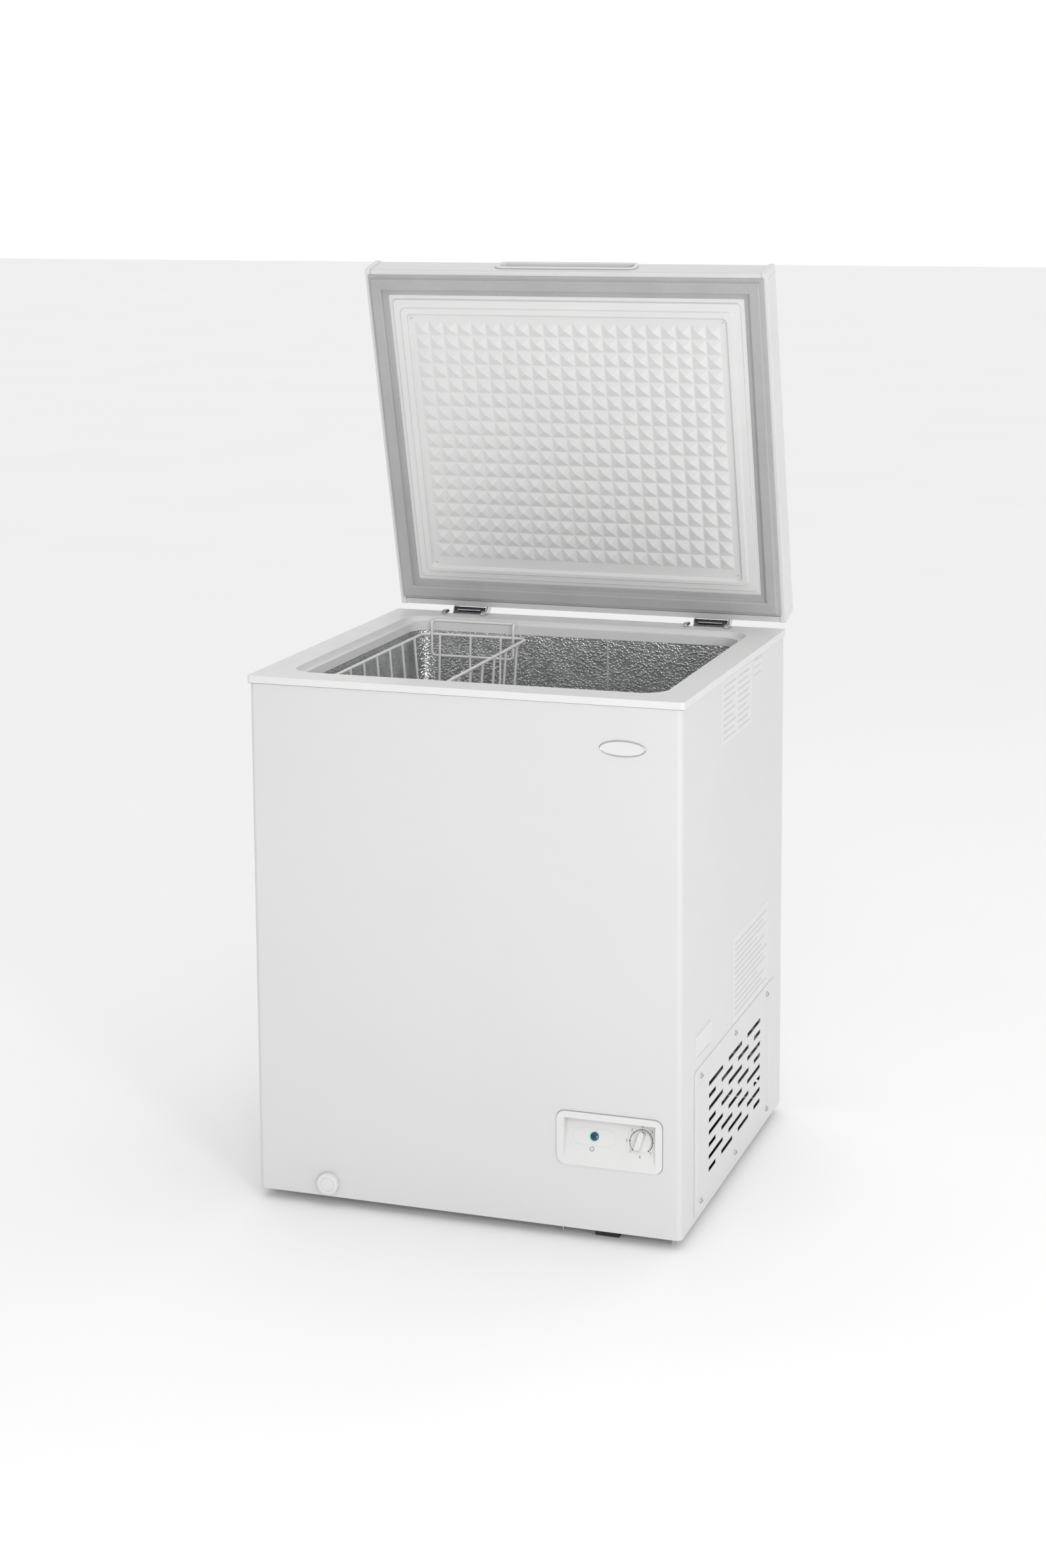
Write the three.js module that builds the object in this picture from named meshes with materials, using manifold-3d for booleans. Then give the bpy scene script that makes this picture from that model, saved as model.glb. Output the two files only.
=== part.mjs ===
// Chest freezer with its lid open: painted steel cabinet, plastic top collar, embossed aluminium
// liner, foam, compressor bay with its tray, hinged lid, wire basket, thermostat panel and drain.
// Millimetres, +Z up, front towards -Y. The origin is on the floor, under the middle of the open
// freezer's bounding box.
import * as THREE from 'three';
import { mergeVertices } from 'three/addons/utils/BufferGeometryUtils.js';
import Module from 'manifold-3d';

const wasm = await Module();
wasm.setup();

// ---------------------------------------------------------------- driving dimensions
const gap = 0.3;                      // between pieces that touch
const cabinet = { width: 630, depth: 575, bottom: 14, top: 766, sheet: 1 };
const halfW = cabinet.width / 2;
const halfD = cabinet.depth / 2;
const originToCabinet = -27;          // Y of the cabinet's middle
const trim = { overhang: 2.5, band: 10, plate: 3, openW: 275, openD: 243, cornerR: 36 };
const ledge = { drop: 8, width: 11, wallBottom: 21 };
const liner = { halfW: 262.5, halfD: 232, floor: 78, sheet: 1, cornerR: 30 };
const step = { left: 68, top: 300 };  // liner's shelf over the compressor bay
const bay = { left: 128, top: 250 };  // compressor bay, open to the right side and the back
const skinGap = 6;                    // between the steel skin and the foam, for the condenser
const coilGap = 7;                    // between the liner and the foam, for the evaporator
const lid = { openDeg: 75.7, length: 555, halfW: 315.5, height: 48, seal: 10, rail: 9 };
const pivot = { y: halfD - 6, z: cabinet.top - 12 };
const hingeX = 198;
const hinge = { halfW: 31, sheet: 2, pinR: 2.4, plateHeight: 46 };
const notch = { halfW: 34, y: halfD - 14, depth: 28 };
const seal = { halfW: 310, rear: 11, front: 548, inHalfW: 281, inRear: 43.5, inFront: 518 };
const pyramid = { pitch: 23, across: 21, along: 17, height: 5 };
const handle = { halfW: 112, height: 32, proud: 2, pocketDepth: 18, middle: 29 };
const basket = {
  left: -250, right: -78, halfD: 226, rim: 740, height: 210, inset: 17, rimWire: 4.8, wire: 4.2,
  corner: 16, acrossPitch: 52, acrossCount: 8, alongX: [-222, -171, -121], handleX: [-235, -100],
};
const vent = {
  y: 3, z: 126, plateY: [-222, 242], halfH: 106, ribs: [[-216, -160], [193, 236]], ribHalfH: 83, raise: 1.6,
  openHalfL: 174, openHalfH: 88, screwY: [-191, 1, 192], screwZ: 91,
};
const slot = {
  height: 7, pitch: 18, lift: 1, rows: 8,
  even: [[-150, -110], [-80, -15], [15, 80], [110, 150]], odd: [[-150, -70], [-40, 40], [70, 150]],
};
const panel = {
  x: 212.6, z: 144.5, halfW: 75.7, halfH: 38.3, tiltDeg: 20, proud: 2.5, openHalfW: 70, openHalfH: 33,
};
const dial = { x: 43, z: 2, r: 14.6, turnDeg: 14 };
const lamp = { x: -24, z: 2, r: 6 };
const drain = { x: -206, z: 34.5, y: -190, capR: 16, tubeR: 9 };
const louvre = { rows: 10, bottom: 70, pitch: 14, height: 5, length: 60, columns: [160, 229] };
const cordInlet = { x: 278, z: 44, r: 8 };
const tray = { left: 138, right: 306, halfL: 280, top: 13.7, sheet: 2.2 };
const trayFoot = { left: 187, right: 221, halfL: 16, flare: 4, front: -254, rear: 250 };
const leftFoot = { x: -255, r: 15, front: -165, rear: 225 };

// ---------------------------------------------------------------- materials
const paint = (color, roughness, metalness = 0) => () =>
  new THREE.MeshStandardMaterial({ color, roughness, metalness });
const whiteSteel = paint(0xe6e6e6, 0.35);
const whitePlastic = paint(0xe0e0df, 0.45);
const aluminium = paint(0xb4b6b8, 0.35, 1);
const foamYellow = paint(0xe3d3a0, 0.95);
const greyRubber = paint(0xa8a8a8, 0.7);
const blackPlastic = paint(0x1c1c1c, 0.6);
const zinc = paint(0xb9babc, 0.35, 1);
const copper = paint(0xb87048, 0.4, 1);
const blackSteel = paint(0x202224, 0.45, 0.6);
const lampTeal = paint(0x00394a, 0.2);
const coatedWire = paint(0xececea, 0.4);

// ---------------------------------------------------------------- shape helpers
function solid(geometry) {
  const bare = geometry.index ? geometry.toNonIndexed() : geometry.clone();
  bare.deleteAttribute('normal');
  bare.deleteAttribute('uv');
  const merged = mergeVertices(bare, 1e-4);
  return new wasm.Manifold(new wasm.Mesh({
    numProp: 3,
    vertProperties: new Float32Array(merged.attributes.position.array),
    triVerts: new Uint32Array(merged.index.array),
  }));
}

function geometryOf(manifold) {
  const mesh = manifold.getMesh();
  const geometry = new THREE.BufferGeometry();
  geometry.setAttribute('position', new THREE.BufferAttribute(mesh.vertProperties.slice(), 3));
  geometry.setIndex(new THREE.BufferAttribute(mesh.triVerts.slice(), 1));
  geometry.computeVertexNormals();
  return geometry;
}

const join = (...parts) => parts.reduce((whole, part) => whole.add(part));
const cut = (whole, ...tools) => tools.reduce((left, tool) => left.subtract(tool), whole);

// Block between two corners.
function block(x0, x1, y0, y1, z0, z1) {
  const geometry = new THREE.BoxGeometry(x1 - x0, y1 - y0, z1 - z0);
  geometry.translate((x0 + x1) / 2, (y0 + y1) / 2, (z0 + z1) / 2);
  return solid(geometry);
}

function roundedRectangle(halfX, halfY, r, cx = 0, cy = 0) {
  const shape = new THREE.Shape();
  const [x0, x1, y0, y1] = [cx - halfX, cx + halfX, cy - halfY, cy + halfY];
  shape.moveTo(x0 + r, y0);
  shape.lineTo(x1 - r, y0);
  shape.absarc(x1 - r, y0 + r, r, -Math.PI / 2, 0, false);
  shape.lineTo(x1, y1 - r);
  shape.absarc(x1 - r, y1 - r, r, 0, Math.PI / 2, false);
  shape.lineTo(x0 + r, y1);
  shape.absarc(x0 + r, y1 - r, r, Math.PI / 2, Math.PI, false);
  shape.lineTo(x0, y0 + r);
  shape.absarc(x0 + r, y0 + r, r, Math.PI, 1.5 * Math.PI, false);
  return shape;
}

const polygon = (points) => new THREE.Shape(points.map(([a, b]) => new THREE.Vector2(a, b)));

// Shape in XY, raised from z0 to z1.
function raise(shape, z0, z1, curveSegments = 4) {
  const geometry = new THREE.ExtrudeGeometry(shape, { depth: z1 - z0, bevelEnabled: false, curveSegments });
  geometry.translate(0, 0, z0);
  return solid(geometry);
}

// Shape in YZ, swept along X from x0 to x1.
function sweepX(shape, x0, x1, curveSegments = 4) {
  const geometry = new THREE.ExtrudeGeometry(shape, { depth: x1 - x0, bevelEnabled: false, curveSegments });
  geometry.applyMatrix4(new THREE.Matrix4().set(0, 0, 1, x0, 1, 0, 0, 0, 0, 1, 0, 0, 0, 0, 0, 1));
  return solid(geometry);
}

// Shape in XZ, swept along Y from y0 to y1.
function sweepY(shape, y0, y1, curveSegments = 4) {
  const geometry = new THREE.ExtrudeGeometry(shape, { depth: y1 - y0, bevelEnabled: false, curveSegments });
  geometry.applyMatrix4(new THREE.Matrix4().set(1, 0, 0, 0, 0, 0, -1, y1, 0, 1, 0, 0, 0, 0, 0, 1));
  return solid(geometry);
}

const ring = (outer, inner, z0, z1, curveSegments = 4) =>
  cut(raise(outer, z0, z1, curveSegments), raise(inner, z0 - 1, z1 + 1, curveSegments));

// Turned shape: [radius, height] pairs that start and end on the axis, standing on point, along +Z.
function turned(profile, sides, [x, y, z]) {
  const geometry = new THREE.LatheGeometry(profile.map(([r, h]) => new THREE.Vector2(r, h)), sides);
  geometry.rotateX(Math.PI / 2);
  geometry.translate(x, y, z);
  return solid(geometry);
}

// Cylinder between two points.
function rod(from, to, r, sides = 16) {
  const [a, b] = [new THREE.Vector3(...from), new THREE.Vector3(...to)];
  const along = b.clone().sub(a);
  const geometry = new THREE.CylinderGeometry(r, r, along.length(), sides);
  const turn = new THREE.Quaternion().setFromUnitVectors(new THREE.Vector3(0, 1, 0), along.clone().normalize());
  geometry.applyQuaternion(turn);
  geometry.translate(...a.add(b).multiplyScalar(0.5).toArray());
  return solid(geometry);
}

// Square bar between two points, run on by half the overrun at each end.
function bar(from, to, width, overrun = 0) {
  const [a, b] = [new THREE.Vector3(...from), new THREE.Vector3(...to)];
  const along = b.clone().sub(a);
  const geometry = new THREE.BoxGeometry(width, along.length() + overrun, width);
  const turn = new THREE.Quaternion().setFromUnitVectors(new THREE.Vector3(0, 1, 0), along.clone().normalize());
  geometry.applyQuaternion(turn);
  geometry.translate(...a.add(b).multiplyScalar(0.5).toArray());
  return solid(geometry);
}

// Line through points with rounded corners.
function roundedPath(points, r) {
  const path = new THREE.CurvePath();
  const vertices = points.map((p) => new THREE.Vector3(...p));
  let from = vertices[0];
  for (let i = 1; i < vertices.length - 1; i += 1) {
    const before = vertices[i].clone().add(vertices[i - 1].clone().sub(vertices[i]).setLength(r));
    const after = vertices[i].clone().add(vertices[i + 1].clone().sub(vertices[i]).setLength(r));
    if (before.distanceTo(from) > 0.01) path.add(new THREE.LineCurve3(from, before));
    path.add(new THREE.QuadraticBezierCurve3(before, vertices[i], after));
    from = after;
  }
  path.add(new THREE.LineCurve3(from, vertices[vertices.length - 1]));
  return path;
}

// Points along a rounded path: the ends of its straights and a few on each bend.
class SampledPath extends THREE.Curve {
  constructor(path, bendSteps) {
    super();
    this.points = [path.curves[0].getPoint(0)];
    for (const piece of path.curves) {
      const steps = piece.isLineCurve3 ? 1 : bendSteps;
      for (let i = 1; i <= steps; i += 1) this.points.push(piece.getPoint(i / steps));
    }
  }

  get steps() {
    return this.points.length - 1;
  }

  getPoint(t) {
    const place = Math.min(t, 1) * this.steps;
    const i = Math.min(Math.floor(place), this.steps - 1);
    return this.points[i].clone().lerp(this.points[i + 1], place - i);
  }

  getPointAt(t) {
    return this.getPoint(t);
  }

  getTangentAt(t) {
    const nudge = 0.5 / this.steps;
    return this.getPoint(Math.min(t + nudge, 1)).sub(this.getPoint(Math.max(t - nudge, 0))).normalize();
  }
}

// Tube along a rounded path; with a bore it is hollow and open at both ends.
function tube(points, bendR, r, { sides = 8, bendSteps = 4, bore = 0 } = {}) {
  const circle = (radius) => Array.from({ length: sides }, (_, i) => {
    const angle = (2 * Math.PI * i) / sides;
    return new THREE.Vector2(radius * Math.cos(angle), radius * Math.sin(angle));
  });
  const section = new THREE.Shape(circle(r));
  if (bore) section.holes.push(new THREE.Path(circle(bore).reverse()));
  const path = new SampledPath(roundedPath(points, bendR), bendSteps);
  return solid(new THREE.ExtrudeGeometry(section, { steps: path.steps, extrudePath: path }));
}

// ---------------------------------------------------------------- assembly
const freezer = new THREE.Group();
const cabinetGroup = new THREE.Group();
cabinetGroup.position.y = originToCabinet;
const lidGroup = new THREE.Group();
lidGroup.position.set(0, pivot.y, pivot.z);
lidGroup.rotation.x = -THREE.MathUtils.degToRad(lid.openDeg);
cabinetGroup.add(lidGroup);
freezer.add(cabinetGroup);

function add(name, manifold, material, group = cabinetGroup) {
  const mesh = new THREE.Mesh(geometryOf(manifold), material());
  mesh.name = name;
  group.add(mesh);
  return mesh;
}

// ---------------------------------------------------------------- cabinet shell
const notches = [-hingeX, hingeX].map((x) =>
  block(x - notch.halfW, x + notch.halfW, notch.y, halfD + 20, cabinet.top - notch.depth, cabinet.top + 1));

const screwHoleR = 2.3;
const ventScrews = [-1, 1].flatMap((up) => vent.screwY.map((dy) => [vent.y + dy, vent.z + up * vent.screwZ]));

function outerWrapper() {
  const top = cabinet.top - trim.plate - gap;
  const outer = roundedRectangle(halfW, halfD + 20, 8, 0, 20);
  const inner = roundedRectangle(halfW - cabinet.sheet, halfD - cabinet.sheet + 20, 7, 0, 20);
  const bent = ring(outer, inner, cabinet.bottom, top);
  const behind = block(-400, 400, halfD - 2, 400, 0, 900);
  const ventOpening = block(halfW - 5, halfW + 5, vent.y - vent.openHalfL, vent.y + vent.openHalfL,
    vent.z - vent.openHalfH, vent.z + vent.openHalfH);
  const panelOpening = block(panel.x - panel.openHalfW, panel.x + panel.openHalfW, -halfD - 5, -halfD + 5,
    panel.z - panel.openHalfH, panel.z + panel.openHalfH);
  const drainHole = rod([drain.x, -halfD - 5, drain.z], [drain.x, -halfD + 5, drain.z], drain.tubeR + gap);
  const screwHoles = ventScrews.map(([y, z]) => rod([halfW - 5, y, z], [halfW + 5, y, z], screwHoleR, 8));
  return cut(bent, behind, ventOpening, panelOpening, drainHole, ...screwHoles);
}

function rearPanel() {
  const [low, high] = [cabinet.bottom + 1.3, cabinet.top - 11];
  const sheet = block(-halfW + 1.5, halfW - 1.5, halfD - 1.5, halfD - 0.5, low, high);
  const louvres = [];
  for (let row = 0; row < louvre.rows; row += 1) {
    const z = louvre.bottom + row * louvre.pitch;
    for (const x of louvre.columns) {
      louvres.push(block(x, x + louvre.length, halfD - 5, halfD + 5, z, z + louvre.height));
    }
  }
  const { x: inletX, z: inletZ, r: inletR } = cordInlet;
  const inlet = rod([inletX, halfD - 5, inletZ], [inletX, halfD + 5, inletZ], inletR + gap);
  const hingeHoles = hingeScrews.map(([x, z]) => rod([x, halfD - 5, z], [x, halfD + 5, z], screwHoleR, 8));
  return cut(sheet, inlet, ...louvres, ...hingeHoles, ...notches);
}

function basePanel() {
  const edge = cabinet.sheet + 1;
  const sheet = raise(roundedRectangle(halfW - edge, halfD - edge, 8), cabinet.bottom, cabinet.bottom + 1);
  return cut(sheet, block(150, 294, -266, 266, 0, 50));
}

function topCollar() {
  const t = cabinet.top;
  const rim = roundedRectangle(halfW + trim.overhang, halfD + trim.overhang, 5);
  const opening = roundedRectangle(trim.openW, trim.openD, trim.cornerR);
  const throatOut = roundedRectangle(trim.openW + 2.5, trim.openD + 2.5, trim.cornerR + 2.5);
  const ledgeIn = roundedRectangle(trim.openW - ledge.width, trim.openD - ledge.width, 30);
  const wallOut = roundedRectangle(trim.openW - ledge.width + 2.5, trim.openD - ledge.width + 2.5, 32.5);
  const skirtIn = roundedRectangle(halfW + gap, halfD + gap, 3);
  const plate = ring(rim, opening, t - trim.plate, t, 8);
  const skirt = ring(rim, skirtIn, t - trim.band, t - trim.plate, 8);
  const throat = ring(throatOut, opening, t - ledge.drop - 2.5, t - trim.plate, 8);
  const shelf = ring(throatOut, ledgeIn, t - ledge.drop - 2.5, t - ledge.drop, 8);
  const wall = ring(wallOut, ledgeIn, t - ledge.wallBottom, t - ledge.drop - 2.5, 8);
  return cut(join(plate, skirt, throat, shelf, wall), ...notches);
}

function innerLiner() {
  const top = cabinet.top - ledge.wallBottom - gap;
  const t = liner.sheet;
  const outline = (grow, r) => roundedRectangle(liner.halfW + grow, liner.halfD + grow, r);
  const outer = raise(outline(t, liner.cornerR + t), liner.floor - t, top);
  const inner = raise(outline(0, liner.cornerR), liner.floor, top + 5);
  const stepOuter = block(step.left, 400, -400, 400, 0, step.top);
  const stepInner = block(step.left - t, 400, -400, 400, 0, step.top + t);
  const drainHole = rod([drain.x, drain.y, 50], [drain.x, drain.y, 100], drain.tubeR + gap);
  return cut(cut(outer, stepOuter), cut(inner, stepInner), drainHole);
}

const condenserRuns = 6;
const drainRoute = [
  [drain.x, drain.y, liner.floor - liner.sheet - 1],
  [drain.x, drain.y, drain.z],
  [drain.x, -halfD + 1.6, drain.z],
];

function foam() {
  const inset = cabinet.sheet + skinGap;
  const top = cabinet.top - 11.3;
  const body = raise(roundedRectangle(halfW - inset, halfD - inset, 22), 16, top);
  const grow = liner.sheet + coilGap;
  const outline = roundedRectangle(liner.halfW + grow, liner.halfD + grow, liner.cornerR + grow);
  const cavity = cut(raise(outline, liner.floor - liner.sheet - gap, top + 5),
    block(step.left + gap, 400, -400, 400, 0, step.top - gap));
  const bayRoom = block(bay.left, 400, -400, 400, 0, bay.top);
  const drainRoom = tube([[drain.x, drain.y, 90], [drain.x, drain.y, drain.z], [drain.x, -halfD - 5, drain.z]],
    22, drain.tubeR + 1, { sides: 12 });
  return cut(body, cavity, bayRoom, drainRoom, ...notches);
}

// Serpentine bonded inside the skin, round the left and front walls.
function condenserCoil() {
  const wall = cabinet.sheet + skinGap / 2;
  const [x, y] = [-halfW + wall, -halfD + wall];
  const points = [];
  for (let i = 0; i < condenserRuns; i += 1) {
    const z = 110 + i * 110;
    const run = [[x, 262, z], [x, y, z], [100, y, z]];
    points.push(...(i % 2 ? run.reverse() : run));
  }
  return tube(points, 14, 2.4, { sides: 5, bendSteps: 2 });
}

// Rectangular helix wound round the liner above the step.
function evaporatorCoil() {
  const off = liner.sheet + coilGap / 2;
  const [x, y] = [liner.halfW + off, liner.halfD + off];
  const points = [[-x, y - 80, 330]];
  const turns = 3;
  const pitch = 120;
  const bend = 1.1 * (liner.cornerR + off);
  for (let i = 0; i < turns; i += 1) {
    const z = 330 + i * pitch;
    points.push([-x, -y, z], [x, -y, z + pitch / 4], [x, y, z + pitch / 2], [-x, y, z + (3 * pitch) / 4]);
  }
  points.push([-x, -y + 80, 330 + turns * pitch]);
  return tube(points, bend, 2.2, { sides: 5, bendSteps: 5 });
}

const hingeScrews = [-1, 1].flatMap((side) => [-18, 18].map((dx) => [side * hingeX + dx, cabinet.top - 52]));

// Dome-headed screw: head standing on a point, its axis along the given direction.
function screw([x, y, z], direction, shank = 7) {
  const profile = [[0, -shank], [1.9, -shank], [1.9, 0], [4.2, 0], [3.6, 1.6], [0, 2.4]];
  const geometry = new THREE.LatheGeometry(profile.map(([r, h]) => new THREE.Vector2(r, h)), 8);
  const [up, axis] = [new THREE.Vector3(0, 1, 0), new THREE.Vector3(...direction)];
  const turn = new THREE.Quaternion().setFromUnitVectors(up, axis);
  geometry.applyQuaternion(turn);
  geometry.translate(x, y, z);
  return solid(geometry);
}

add('outer_wrapper', outerWrapper(), whiteSteel);
add('rear_panel', rearPanel(), whiteSteel);
add('base_panel', basePanel(), zinc);
add('top_collar', topCollar(), whitePlastic);
add('inner_liner', innerLiner(), aluminium);
add('insulation_foam', foam(), foamYellow);
add('condenser_coil', condenserCoil(), copper);
add('evaporator_coil', evaporatorCoil(), aluminium);

// ---------------------------------------------------------------- compressor bay
function compressorTray() {
  const { left, right, halfL, top, sheet } = tray;
  const plate = block(left, right, -halfL, halfL, top - sheet, top);
  const flanges = [left + 4, right - 6].map((x) => block(x, x + 2, -halfL, halfL, 5, top - sheet + 0.5));
  return join(plate, ...flanges);
}

// Bent sheet between the foam and the compressor bay.
function bayWall() {
  const [x, z] = [bay.left + gap, bay.top - gap];
  const [low, right] = [cabinet.bottom + 1.4, 306];
  const bent = polygon([[x, low], [x + 1, low], [x + 1, z - 1], [right, z - 1], [right, z], [x, z]]);
  return sweepY(bent, -halfD + 4, halfD - 4);
}

// Block under the tray, wider at its top.
function footBlock(y) {
  const { left, right, halfL, flare } = trayFoot;
  const top = tray.top - tray.sheet - gap;
  const side = polygon([[y - halfL, 0], [y + halfL, 0], [y + halfL + flare, top], [y - halfL - flare, top]]);
  return sweepX(side, left, right);
}

const compressorAt = { x: 222, y: 70, r: 66, waist: 112 };

function compressor() {
  const { x, y, r, waist } = compressorAt;
  const profile = [
    [0, 32], [30, 32], [52, 40], [r - 3, 62], [r - 1, waist - 3], [r + 4, waist - 3], [r + 4, waist + 3],
    [r - 1, waist + 3], [r - 4, 150], [48, 176], [24, 188], [0, 190],
  ];
  const dome = turned(profile, 20, [x, y, 0]);
  const feet = block(x - 72, x + 72, y - 62, y + 62, 28, 31);
  const waistCut = [-1, 1].map((side) => block(x - 46, x + 46, y + side * 82 - 36, y + side * 82 + 36, 20, 40));
  const neck = raise(roundedRectangle(34, 30, 8, x, y), 28, 36);
  const terminalBox = block(x - 26, x + 26, y - r - 30, y - r + 8, 84, 134);
  const holes = grommetSpots.map(([gx, gy]) => rod([gx, gy, 20], [gx, gy, 40], 4.3));
  return cut(join(dome, cut(feet, ...waistCut), neck, terminalBox), ...holes);
}

const grommetSpots = [-1, 1].flatMap((sx) =>
  [-1, 1].map((sy) => [compressorAt.x + sx * 60, compressorAt.y + sy * 50]));

// Rubber mount: wide under the compressor's foot, with a neck up through its hole.
function grommet([x, y]) {
  return turned([[0, 0], [9, 0], [10, 3], [9, 13.6], [4, 13.6], [4, 19], [0, 19]], 16, [x, y, tray.top + gap]);
}

function ventPanel() {
  const { y, z, plateY, halfH, ribs, ribHalfH, raise: high } = vent;
  const x = halfW + gap;
  const thick = 1.2;
  const long = (from, to, tall, r) => roundedRectangle((to - from) / 2, tall, r, (from + to) / 2, z);
  const plate = sweepX(long(...plateY, halfH, 8), x, x + thick, 2);
  const raised = ribs.map(([from, to]) => sweepX(long(from, to, ribHalfH, 10), x, x + thick + high, 2));
  const behind = ribs.map(([from, to]) => {
    const hollow = long(from + thick, to - thick, ribHalfH - thick, 9);
    return sweepX(hollow, x - 1, x + high, 2);
  });
  const slots = [];
  for (let row = 0; row < slot.rows; row += 1) {
    const middle = z + (row - (slot.rows - 1) / 2) * slot.pitch + slot.lift;
    for (const [from, to] of row % 2 ? slot.odd : slot.even) {
      slots.push(block(x - 5, x + 5, y + from, y + to, middle - slot.height / 2, middle + slot.height / 2));
    }
  }
  const holes = ventScrews.map(([sy, sz]) => rod([x - 5, sy, sz], [x + 5, sy, sz], screwHoleR, 8));
  return cut(join(plate, ...raised), ...behind, ...slots, ...holes);
}

// Rubber bush in the rear panel, for a supply lead.
function inletBush() {
  const { x, z, r } = cordInlet;
  const flange = rod([x, halfD - 0.5 + gap, z], [x, halfD + 2.5, z], r + 3);
  const neck = rod([x, halfD - 6, z], [x, halfD + 1, z], r - 0.1);
  return cut(join(flange, neck), rod([x, halfD - 9, z], [x, halfD + 9, z], r / 2));
}

add('bay_wall', bayWall(), blackPlastic);
add('compressor_tray', compressorTray(), zinc);
add('tray_foot_front', footBlock(trayFoot.front), blackPlastic);
add('tray_foot_rear', footBlock(trayFoot.rear), blackPlastic);
add('compressor', compressor(), blackSteel);
grommetSpots.forEach((spot, i) => add(`compressor_grommet_${i + 1}`, grommet(spot), blackPlastic));
const drierProfile = [[0, 0], [3, 0], [3, 6], [9, 14], [9, 84], [3, 92], [3, 98], [0, 98]];
add('filter_drier', turned(drierProfile, 14, [150, 205, 120]), copper);
add('discharge_pipe', tube([[222, 148, 100], [222, 175, 100], [222, 175, 60], [150, 175, 60], [150, 205, 60],
  [150, 205, 119]], 9, 3, { sides: 6, bendSteps: 3 }), copper);
add('suction_pipe', tube([[168, 16, 100], [150, -2, 100], [150, -60, 100], [150, -60, 232]], 14, 4,
  { sides: 6, bendSteps: 3 }), copper);
add('side_vent_panel', ventPanel(), whiteSteel);
ventScrews.forEach(([y, z], i) =>
  add(`vent_screw_${i + 1}`, screw([halfW + 1.5 + gap, y, z], [1, 0, 0]), zinc));
add('cord_inlet_bush', inletBush(), blackPlastic);

// Round levelling feet under the left side, set well in from the front.
for (const [name, y] of [['foot_left_front', leftFoot.front], ['foot_left_rear', leftFoot.rear]]) {
  const { x, r } = leftFoot;
  const top = cabinet.bottom - gap;
  add(name, turned([[0, 0], [r, 0], [r + 1, 3], [r - 3, top], [0, top]], 16, [x, y, 0]), blackPlastic);
}

// ---------------------------------------------------------------- control panel
// Matrix from the dial face's own frame (X right, Z up the face, -Y out of it) to the cabinet's.
const faceTilt = THREE.MathUtils.degToRad(panel.tiltDeg);
const faceAt = new THREE.Vector3(panel.x, -halfD + 8, panel.z);
const faceMatrix = new THREE.Matrix4().makeRotationX(-faceTilt).setPosition(faceAt);
const onFace = (manifold) => manifold.transform(faceMatrix.toArray());

function controlBezel() {
  const back = -halfD + 28;
  const frame = roundedRectangle(panel.halfW, panel.halfH, 12, panel.x, panel.z);
  const plate = sweepY(frame, -halfD - panel.proud, -halfD - gap);
  const housing = block(panel.x - 69, panel.x + 69, -halfD - 1, back, panel.z - 32.5, panel.z + 32.5);
  const rise = 29;
  const slope = Math.tan(faceTilt) * rise;
  const recess = sweepX(polygon([
    [-halfD - 9, panel.z - rise], [faceAt.y - slope, panel.z - rise],
    [faceAt.y + slope, panel.z + rise], [-halfD - 9, panel.z + rise],
  ]), panel.x - 65, panel.x + 66);
  const hollow = sweepX(polygon([
    [back + 5, panel.z - 30], [faceAt.y - slope + 4, panel.z - 30],
    [faceAt.y + slope + 4, panel.z + 30], [back + 5, panel.z + 30],
  ]), panel.x - 66.5, panel.x + 66.5);
  const bores = join(
    rod([dial.x, -10, dial.z], [dial.x, 10, dial.z], 3.4),
    rod([lamp.x, -10, lamp.z], [lamp.x, 10, lamp.z], lamp.r + gap, 20));
  return cut(join(plate, housing), recess, hollow, onFace(bores));
}

function controlKnob() {
  const disc = rod([dial.x, -gap, dial.z], [dial.x, -3, dial.z], dial.r, 28);
  const grip = block(dial.x - 4, dial.x + 4, -14, -2, dial.z - dial.r + 0.6, dial.z + dial.r - 0.6);
  const round = rod([dial.x, 0, dial.z], [dial.x, -20, dial.z], dial.r - 0.3, 28);
  const centred = grip.translate([-dial.x, 0, -dial.z]);
  const pointed = centred.rotate([0, dial.turnDeg, 0]).translate([dial.x, 0, dial.z]);
  return onFace(join(disc, pointed.intersect(round)));
}

function thermostat() {
  const body = block(dial.x - 15, dial.x + 15, 22, 48, dial.z - 22, dial.z + 22);
  const collar = rod([dial.x, 14, dial.z], [dial.x, 24, dial.z], 8);
  return onFace(cut(join(body, collar), rod([dial.x, 0, dial.z], [dial.x, 30, dial.z], 3.2)));
}

const shaftPiece = onFace(rod([dial.x, gap, dial.z], [dial.x, 28, dial.z], 3));
const lampPiece = onFace(solid(new THREE.LatheGeometry(
  [[0, -1.6], [4.4, -1.2], [lamp.r, 0], [lamp.r, 12], [0, 12]].map(([r, h]) => new THREE.Vector2(r, h)), 20)
  .translate(lamp.x, 0, lamp.z)));

add('control_bezel', controlBezel(), whitePlastic);
add('control_knob', controlKnob(), whitePlastic);
add('thermostat_shaft', shaftPiece, zinc);
add('thermostat', thermostat(), blackPlastic);
add('power_lamp', lampPiece, lampTeal);

// ---------------------------------------------------------------- drain
function drainTube() {
  return tube(drainRoute, 22, drain.tubeR, { sides: 14, bore: drain.tubeR - 2 });
}

// Round cap with a stub that plugs the tube's end.
function drainCap() {
  const face = -halfD - 9.5;
  const { x, z, capR } = drain;
  const body = rod([x, face, z], [x, -halfD - gap, z], capR, 28);
  const stub = rod([x, -halfD - 2, z], [x, -halfD + 12, z], 6.4, 14);
  const grooveOut = rod([x, face - 1, z], [x, face + 0.8, z], 10.2, 20);
  const groove = cut(grooveOut, rod([x, face - 2, z], [x, face + 2, z], 9.3, 20));
  return cut(join(body, stub), groove);
}

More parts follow.
